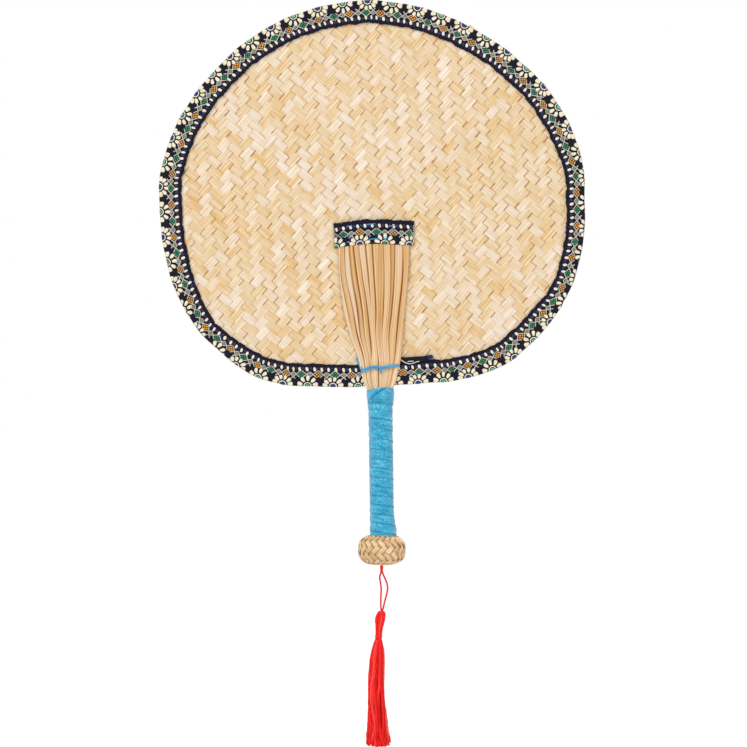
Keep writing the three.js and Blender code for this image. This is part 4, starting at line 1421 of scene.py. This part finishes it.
def round_tree():
    """Copies of a mesh turned about the upright axis."""
    net, size = geometry_tree("turned_round", ROUND)
    still = (0.0, 0.0, 0.0)
    row = net.geo("MeshLine", {"Count": size["Count"], "Start Location": still, "Offset": still})
    number = net.geo("InputIndex")
    turn = net.vector(0.0, 0.0, number / size["Count"] * (2 * math.pi))
    real = net.copies(row, size["Geometry"], Rotation=turn)
    verts = net.geo("InputIndex")
    per = net.geo("AttributeDomainSize", {"Geometry": size["Geometry"]}, out="Point Count")
    tone = net.random(0.0, 1.0, (verts / per).math("FLOOR"), 7)
    real = net.keep(real, "tone", tone)
    aside = net.vector(size["Sideways"], 0.0, 0.0)
    return close_tree(net, net.geo("Transform", {"Geometry": real, "Translation": aside}), size["Finish"])


turned_round = round_tree()


def barrel_line():
    """The barrel's outline from top to bottom: turn of a strip, radius and height, in mm."""
    angle = np.linspace(math.radians(89), math.radians(-89.6), 4000)
    power = 2 / POMMEL_EXPONENT
    radius = POMMEL_RADIUS * np.cos(angle) ** power
    height = POMMEL_HALF_HEIGHT * np.sign(angle) * np.abs(np.sin(angle)) ** power
    step = np.hypot(np.diff(radius), np.diff(height))
    turn = np.concatenate([[0], np.cumsum(step / ((radius[1:] + radius[:-1]) / 2))])
    keep = (radius > 6.5) | (height < 0)
    keep &= (radius > 1.9) | (height > 0)
    return turn[keep], radius[keep], height[keep]


# Section of a straw: share of its half width, and of its thickness
STRAW_SECTION = np.array([(-1.0, 0.0), (-0.94, 0.34), (-0.5, 0.5), (0.0, 0.54), (0.5, 0.5),
                          (0.94, 0.34), (1.0, 0.0), (0.9, -0.4), (0.0, -0.5), (-0.9, -0.4)])


def straw_strip(name, way, finish):
    """One strip from the top to the bottom of the barrel. Way is 1 or -1."""
    turn, radius, height = barrel_line()
    middle = np.interp(0, -height, turn)
    places = np.linspace(turn[0], turn[-1], 110)
    spacing = 2 * np.pi / STRAWS
    row = spacing / (2 * math.tan(STRAW_SLOPE))
    r = np.interp(places, turn, radius)
    z = np.interp(places, turn, height)
    slope_r = np.gradient(r, places)
    slope_z = np.gradient(z, places)
    size = np.hypot(slope_r, slope_z)
    out_r = -slope_z / size
    out_z = slope_r / size
    swing = -np.cos((places - middle) / row * math.pi / 2 + 0.35)
    swing = swing * (1.5 - 0.5 * swing**2)
    lift = way * STRAW_WAVE * swing * np.clip(r / 9, 0.3, 1)
    angle = way * math.tan(STRAW_SLOPE) * (places - middle)
    centre = np.column_stack([(r + lift * out_r) * np.cos(angle), (r + lift * out_r) * np.sin(angle),
                              z + lift * out_z])
    normal = np.column_stack([out_r * np.cos(angle), out_r * np.sin(angle), out_z])
    heading = np.gradient(centre, places, axis=0)
    heading /= np.linalg.norm(heading, axis=1)[:, None]
    side = np.cross(normal, heading)
    side /= np.linalg.norm(side, axis=1)[:, None]
    half = 0.5 * 0.95 * spacing * r * math.cos(STRAW_SLOPE)
    rings = centre[:, None, :] + STRAW_SECTION[None, :, :1] * half[:, None, None] * side[:, None, :]
    rings = rings + STRAW_SECTION[None, :, 1:] * STRAW_THICKNESS * normal[:, None, :]
    rings = rings + np.array([0, 0, POMMEL_Z])
    along = travelled(centre)[:, None] * MM
    values = {"along": along, "across": STRAW_SECTION[:, 0], "rise": np.abs(swing)[:, None]}
    return loft(name, rings * MM, finish, values)


def straw_finish():
    """Plaited straw: tan strips with long fibres, darker brown along their edges, and a painted shadow where
    a strip dips under the other family.
    """
    net = Finish("straw", 0.55, specular=0.35)
    along, across, tone = net.values("along", "across", "tone")
    fibres = net.noise(along * 60, across * 3, tone * 60, detail=4.0, roughness=0.7)
    patches = net.noise(along * 140, across * 0.8, tone * 33, detail=1.0)
    shade = tone * 0.3 + (fibres - 0.5) * 1.6 + (patches - 0.5) * 0.8 + 0.36
    tones = (172, 124, 76), (208, 165, 114), (231, 196, 152), (252, 228, 194)
    colour = net.ramp(shade.unit(), tones)
    edge = across.size().over(0.86, 7)
    colour = net.mix(edge * 0.7, colour, paint(112, 64, 24))
    # Painted shadow where a strip dips under the other family.
    slot = (1.0 - net.value("rise") * 2.2).unit()
    colour = net.mix(slot * 0.85, colour, paint(88, 48, 16))
    return net.done(colour, fibres, 0.16 * MM)


def wood_finish():
    """Brown wood of the cores, which shows only in gaps."""
    net = Finish("core_wood", 0.7, specular=0.3)
    x, y, z = net.parts(net.node("ShaderNodeTexCoord", out="Object"))
    grain = net.noise(x * 900, y * 900, z * 60, detail=3.0)
    tones = (70, 38, 16), (112, 66, 30), (150, 98, 50)
    return net.done(net.ramp(grain, tones), grain, 0.1 * MM)


straw = straw_finish()
wood = wood_finish()
for name, way, nodes in (("plait_rising", 1, ["pommel_plait"]), ("plait_falling", -1, [])):
    strip = straw_strip(name + "_strip", way, straw)
    plait = grown(name, turned_round, ROUND, straw, strip)
    dress(smooth(plait, 50), "fan", "straw_plait", *nodes)


def repaint(node, finish):
    """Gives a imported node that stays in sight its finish."""
    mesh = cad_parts[node].data
    mesh.materials.clear()
    mesh.materials.append(finish)


for node in ("handle_core", "pommel_core"):
    repaint(node, wood)


# Tassel: knot, loop, head with its binding, and skirt

red_yarn = yarn_finish("red_yarn", (206, 2, 6), (250, 18, 16), (255, 60, 52), (255, 134, 120),
                       turns=2.0, sheen=0.0, contrast=1.0)
repaint("cord_stop_knot", red_yarn)

KNOT_MIDDLE = -74.1  # mm
# Sideways place and drop below the knot's middle, in mm, down one strand of the loop and up the other
LOOP_LINE = ((0.3, 1.7), (0.1, 3.9), (-0.75, 7), (-0.2, 10.8), (0.3, 14.6), (0.15, 19.5), (0.05, 24),
             (0.1, 27.4), (0.25, 29.3), (0.85, 30.3), (1.5, 29.3), (2.0, 27.3), (2.9, 23.6), (4.1, 19),
             (4.8, 14.8), (4.2, 10.8), (2.7, 7.2), (1.6, 4.8), (1.15, 3.2), (1.0, 1.7))
TWIST_TOP = -71.4  # mm
TWIST_END = -78.4
TWIST_TURN = 7.5  # radians from top to end


def twist(name, top, bottom):
    """A stretch, with round ends, of the twist of both strands under the pommel."""
    heights = np.linspace(top, bottom, 36)
    turn = np.linspace(0, 2 * np.pi, 32, endpoint=False)
    rings = []
    for z in heights:
        share = (TWIST_TOP - z) / (TWIST_TOP - TWIST_END)
        size = 1.3 * (1 - 0.15 * share) * min(1.0, (z - bottom + 0.14) / 1.75, top - z + 0.1) ** 0.5
        waist = np.abs(np.cos(turn - share * TWIST_TURN)) ** 0.8
        radius = size * (0.62 + 0.38 * waist)
        x = radius * np.cos(turn) + 0.65
        rings.append(np.column_stack([x, radius * np.sin(turn), np.full_like(turn, z)]))
    values = {"along": heights[:, None] * -MM, "across": turn, "tone": 0.45}
    return lofted(name, rings, red_yarn, values, 70)


knot = twist("knot_twist", TWIST_TOP, -75.3)
dress_bent(knot, "cord_knot")
loop_twist = dress(twist("loop_twist", -73.4, TWIST_END), "tassel_loop", "tassel_thread")

loop_flat = eased([(x, 0.0, KNOT_MIDDLE - drop) for x, drop in LOOP_LINE], 240) * MM
loop = laid("hanging_loop", [loop_flat], red_yarn,
            Lay=2.6 * MM, Ply=0.42 * MM, Reach=0.26 * MM, Step=0.3 * MM, Sides=8, Tone=0.05)
dress(loop, "tassel_loop", "tassel_thread", "tassel_loop")

# Height and radius down the head, in mm
HEAD_LINE = ((-104.3, 0.6), (-104.6, 1.5), (-105.2, 2.35), (-106.2, 3.0), (-107.7, 3.42), (-109.6, 3.6),
             (-111.6, 3.58), (-113.8, 3.2), (-116.2, 2.75), (-118.6, 2.5), (-121, 2.38), (-123.2, 2.35),
             (-124.6, 2.4), (-126.2, 2.7))
HEAD_THREADS = 26
THREAD_SIDES = 6  # points across each of them
BINDING_TOP = -122.0  # mm
BINDING_HEIGHT = 1.5
BINDING_RADIUS = 2.36
BINDING_TURNS = 3.3
AXIS_DEPTHS = (104, 110, 118, 126, 147, 174, 192, 200)  # mm below the grip's middle
AXIS_SHIFTS = (0.7, -0.4, -1.2, -1.7, -2.7, -2.8, -2.0, -1.5)  # mm to the right there


def tassel_axis(z):
    """Sideways place of the tassel's middle at a height, in mm."""
    return np.interp(-z, AXIS_DEPTHS, AXIS_SHIFTS)


def laid_head():
    """Head of laid threads, drawn in to the neck."""
    chance = np.random.default_rng(3)
    line = eased(HEAD_LINE, 70)
    turn = np.linspace(0, 2 * np.pi, HEAD_THREADS * THREAD_SIDES, endpoint=False)
    depth = chance.uniform(0.1, 0.24, HEAD_THREADS)
    swirl = [(chance.uniform(2, 5), chance.uniform(0, 6)) for _ in range(4)]
    rings = []
    for z, radius in line:
        bend = turn + 0.05 * math.sin(z * 0.5) + sum(0.012 * math.sin(a * z * 0.2 + b) for a, b in swirl)
        groove = np.abs(np.sin(HEAD_THREADS * turn / 2)) ** 0.7
        ridge = 1 - np.repeat(depth, THREAD_SIDES) * (1 - groove) * min(1.0, radius / 2)
        around = radius * ridge
        for start, slope in ((-1.9, 0.32), (-0.9, -0.3), (2.0, 0.3)):
            away = np.angle(np.exp(1j * (turn - start - slope * (z + 110))))
            fade = float(step_up(z, -121, -112))
            around = around - 0.42 * bell(away, 0, 0.2) * fade * min(1, radius / 3)
        x = tassel_axis(z) + around * np.cos(bend)
        rings.append(np.column_stack([x, around * np.sin(bend), np.full_like(turn, z)]))
    tone = np.repeat(chance.uniform(0.0, 0.9, HEAD_THREADS), THREAD_SIDES)
    values = {"along": -line[:, :1] * MM, "across": turn * 4, "tone": tone}
    return lofted("laid_head", rings, red_yarn, values, 70)


head = dress(laid_head(), "tassel_head", "tassel_thread", "tassel_head")


def binding_line():
    turn = np.linspace(0, 2 * np.pi * BINDING_TURNS, 140)
    z = BINDING_TOP - BINDING_HEIGHT * turn / turn[-1]
    x = tassel_axis(z) + BINDING_RADIUS * np.cos(turn)
    return np.column_stack([x, BINDING_RADIUS * np.sin(turn), z]) * MM


binding = laid("neck_binding", [binding_line()], red_yarn,
               Lay=1.8 * MM, Ply=0.17 * MM, Reach=0.1 * MM, Step=0.3 * MM, Sides=6)
dress(binding, "tassel_head", "tassel_thread", "tassel_binding")

SKIRT = {"Threads": 420, "Samples": 34, "Top": -125.2 * MM, "Fall": 74.2 * MM, "Girth": 0.46 * MM,
         "Locks": 15.0, "Seed": 8}


def skirt_tree():
    """Loose threads that hang from the neck: gathered at the top, wavy, in clumps, and spread at the hem."""
    net, size = geometry_tree("loose_threads", SKIRT)
    count = size["Threads"]
    seed = size["Seed"]
    line = net.geo("CurvePrimitiveLine", {"Start": (0.0, 0.0, 0.0), "End": (0.0, 0.0, 1.0)})
    line = net.geo("ResampleCurve", {"Curve": line, "Count": size["Samples"]}, mode="COUNT")
    beside = {"Start Location": (0.0, 0.0, 0.0), "Offset": (1.0, 0.0, 0.0)}
    threads = net.copies(net.geo("MeshLine", {"Count": count, **beside}), line)
    number, _, share = net.position()
    threads, number, share = net.hold(threads, number=number.math("ROUND"), share=share)
    threads = net.keep(threads, "tone", net.random(0.0, 1.0, number, seed))
    threads = net.keep(threads, "girth", net.random(0.5, 1.35, number, seed + 1))

    ring = ((number + 0.5) / count) ** 0.42
    round_share = (number * 0.381966).math("FRACT")
    lock = (round_share * size["Locks"] + ring * 1.5).math("FLOOR")
    middle = (lock + 0.5 - ring * 1.5) / size["Locks"] * (2 * math.pi)
    angle = round_share * (2 * math.pi)
    pace = net.random(5.0, 10.0, lock, seed + 4)
    phase = net.random(0.0, 6.28, lock, seed + 5)
    sway = (share * pace + phase).sin() * share.math("MINIMUM", 0.45) * 0.42
    clump = (share * pace * 0.8 + phase * 2).sin() * 0.11
    threads = net.keep(threads, "tone", net.kept("tone") * 0.45 + net.random(0.0, 0.55, lock, seed + 6))
    low = share.between(0.0, 0.25) * 4
    shoulder = 1.0 - (1.0 - low) * (1.0 - low)
    girth = (2.1 + shoulder * 2.95 + share ** 3.4 * 2.95 + share * 0.5) * MM
    loose = net.noise(number * 3.7, share * 5, 1.0, detail=1.0) - 0.5
    looser = net.noise(number * 5.3, share * 5, 9.0, detail=1.0) - 0.5
    crimp = net.noise(number * 2.1, share * 15, 5.0, detail=1.0) - 0.5
    reach = girth * (ring + clump * share * 0.7) + crimp * (1.3 * MM) * ring
    pull = 1.0 - share.math("MINIMUM", 0.7) * 0.2
    turn = middle + (angle - middle) * pull + sway + loose * 0.5 * share.math("MINIMUM", 0.5)
    fall = size["Fall"] * (net.random(0.955, 1.012, number, seed + 2) - ring ** 6 * 0.028)
    z = size["Top"] - share * fall
    bow = (share * math.pi).sin() * (-1.6 * MM) - 1.6 * MM
    x = turn.cos() * reach + bow + looser * (1.1 * MM) * share
    y = turn.sin() * reach + loose * (1.1 * MM) * share
    threads = net.keep(threads, "along", share * size["Fall"])
    threads = net.moved(threads, x, y, z)
    section = round_section(net, 5, size["Girth"])
    swept = {"Curve": threads, "Profile Curve": section, "Scale": net.kept("girth"), "Fill Caps": True}
    return close_tree(net, net.geo("CurveToMesh", swept), size["Finish"])


skirt = grown("loose_skirt", skirt_tree(), SKIRT, red_yarn)
dress_bent(smooth(skirt, 80), "tassel_skirt")


# Stage, light and camera

VIEW_X = -5.08 * MM
VIEW_Z = 61.7 * MM
VIEW_WIDTH = 523.6 * MM
CAMERA_DISTANCE = 2.4
FLOOR_Z = -0.45
FLOOR_HALF = 30.0


def floor_finish():
    """Pale floor: white where the camera sees it lit, and darker in a shadow."""
    material = bpy.data.materials.new("floor_white")
    material.use_nodes = True
    net = Net(material.node_tree)
    nodes = material.node_tree.nodes
    nodes.remove(nodes["Principled BSDF"])
    seen = net.node("ShaderNodeLightPath", out="Is Camera Ray")
    matte = net.node("ShaderNodeBsdfDiffuse", {"Color": (0.85, 0.85, 0.85, 1.0)})
    glow = net.node("ShaderNodeEmission", {"Color": (1.0, 1.0, 1.0, 1.0), "Strength": seen * 0.55})
    added = nodes.new("ShaderNodeAddShader")
    net.put(added.inputs[0], matte)
    net.put(added.inputs[1], glow)
    net.tree.links.new(added.outputs[0], nodes["Material Output"].inputs["Surface"])
    return material


def make_floor():
    mesh = bpy.data.meshes.new("floor")
    corners = [(x * FLOOR_HALF, y * FLOOR_HALF, FLOOR_Z) for x, y in ((-1, -1), (1, -1), (1, 1), (-1, 1))]
    mesh.from_pydata(corners, [], [(0, 1, 2, 3)])
    mesh.materials.append(floor_finish())
    shown("floor", mesh)


def make_world():
    world = bpy.data.worlds.new("studio")
    scene.world = world
    world.use_nodes = True
    net = Net(world.node_tree)
    background = world.node_tree.nodes["Background"]
    light_path = world.node_tree.nodes.new("ShaderNodeLightPath")
    seen = Field(net, light_path.outputs["Is Camera Ray"])
    for ray in ("Is Glossy Ray", "Is Transmission Ray"):
        seen = seen.math("MAXIMUM", Field(net, light_path.outputs[ray]))
    net.put(background.inputs["Color"], (1.0, 1.0, 1.0, 1.0))
    net.put(background.inputs["Strength"], seen * 0.42 + 0.58)


def lamp(name, place, size, watts):
    light = bpy.data.lights.new(name, "AREA")
    light.size = size
    light.energy = watts
    holder = shown(name, light)
    holder.location = place
    aim = Vector((VIEW_X, 0, VIEW_Z)) - Vector(place)
    holder.rotation_euler = aim.to_track_quat("-Z", "Y").to_euler()


def make_camera():
    data = bpy.data.cameras.new("camera")
    data.sensor_width = 36.0
    data.lens = data.sensor_width * CAMERA_DISTANCE / VIEW_WIDTH
    camera = shown("camera", data)
    camera.location = (VIEW_X, -CAMERA_DISTANCE, VIEW_Z)
    camera.rotation_euler = (math.pi / 2, 0, 0)
    scene.camera = camera


make_floor()
make_world()
lamp("key", (-1.5, -1.7, 1.9), 0.9, 38.0)
lamp("fill", (1.6, -1.6, 0.3), 1.6, 12.0)
lamp("behind", (0.9, 1.9, 1.6), 1.2, 40.0)
make_camera()
scene.view_settings.view_transform = "Standard"
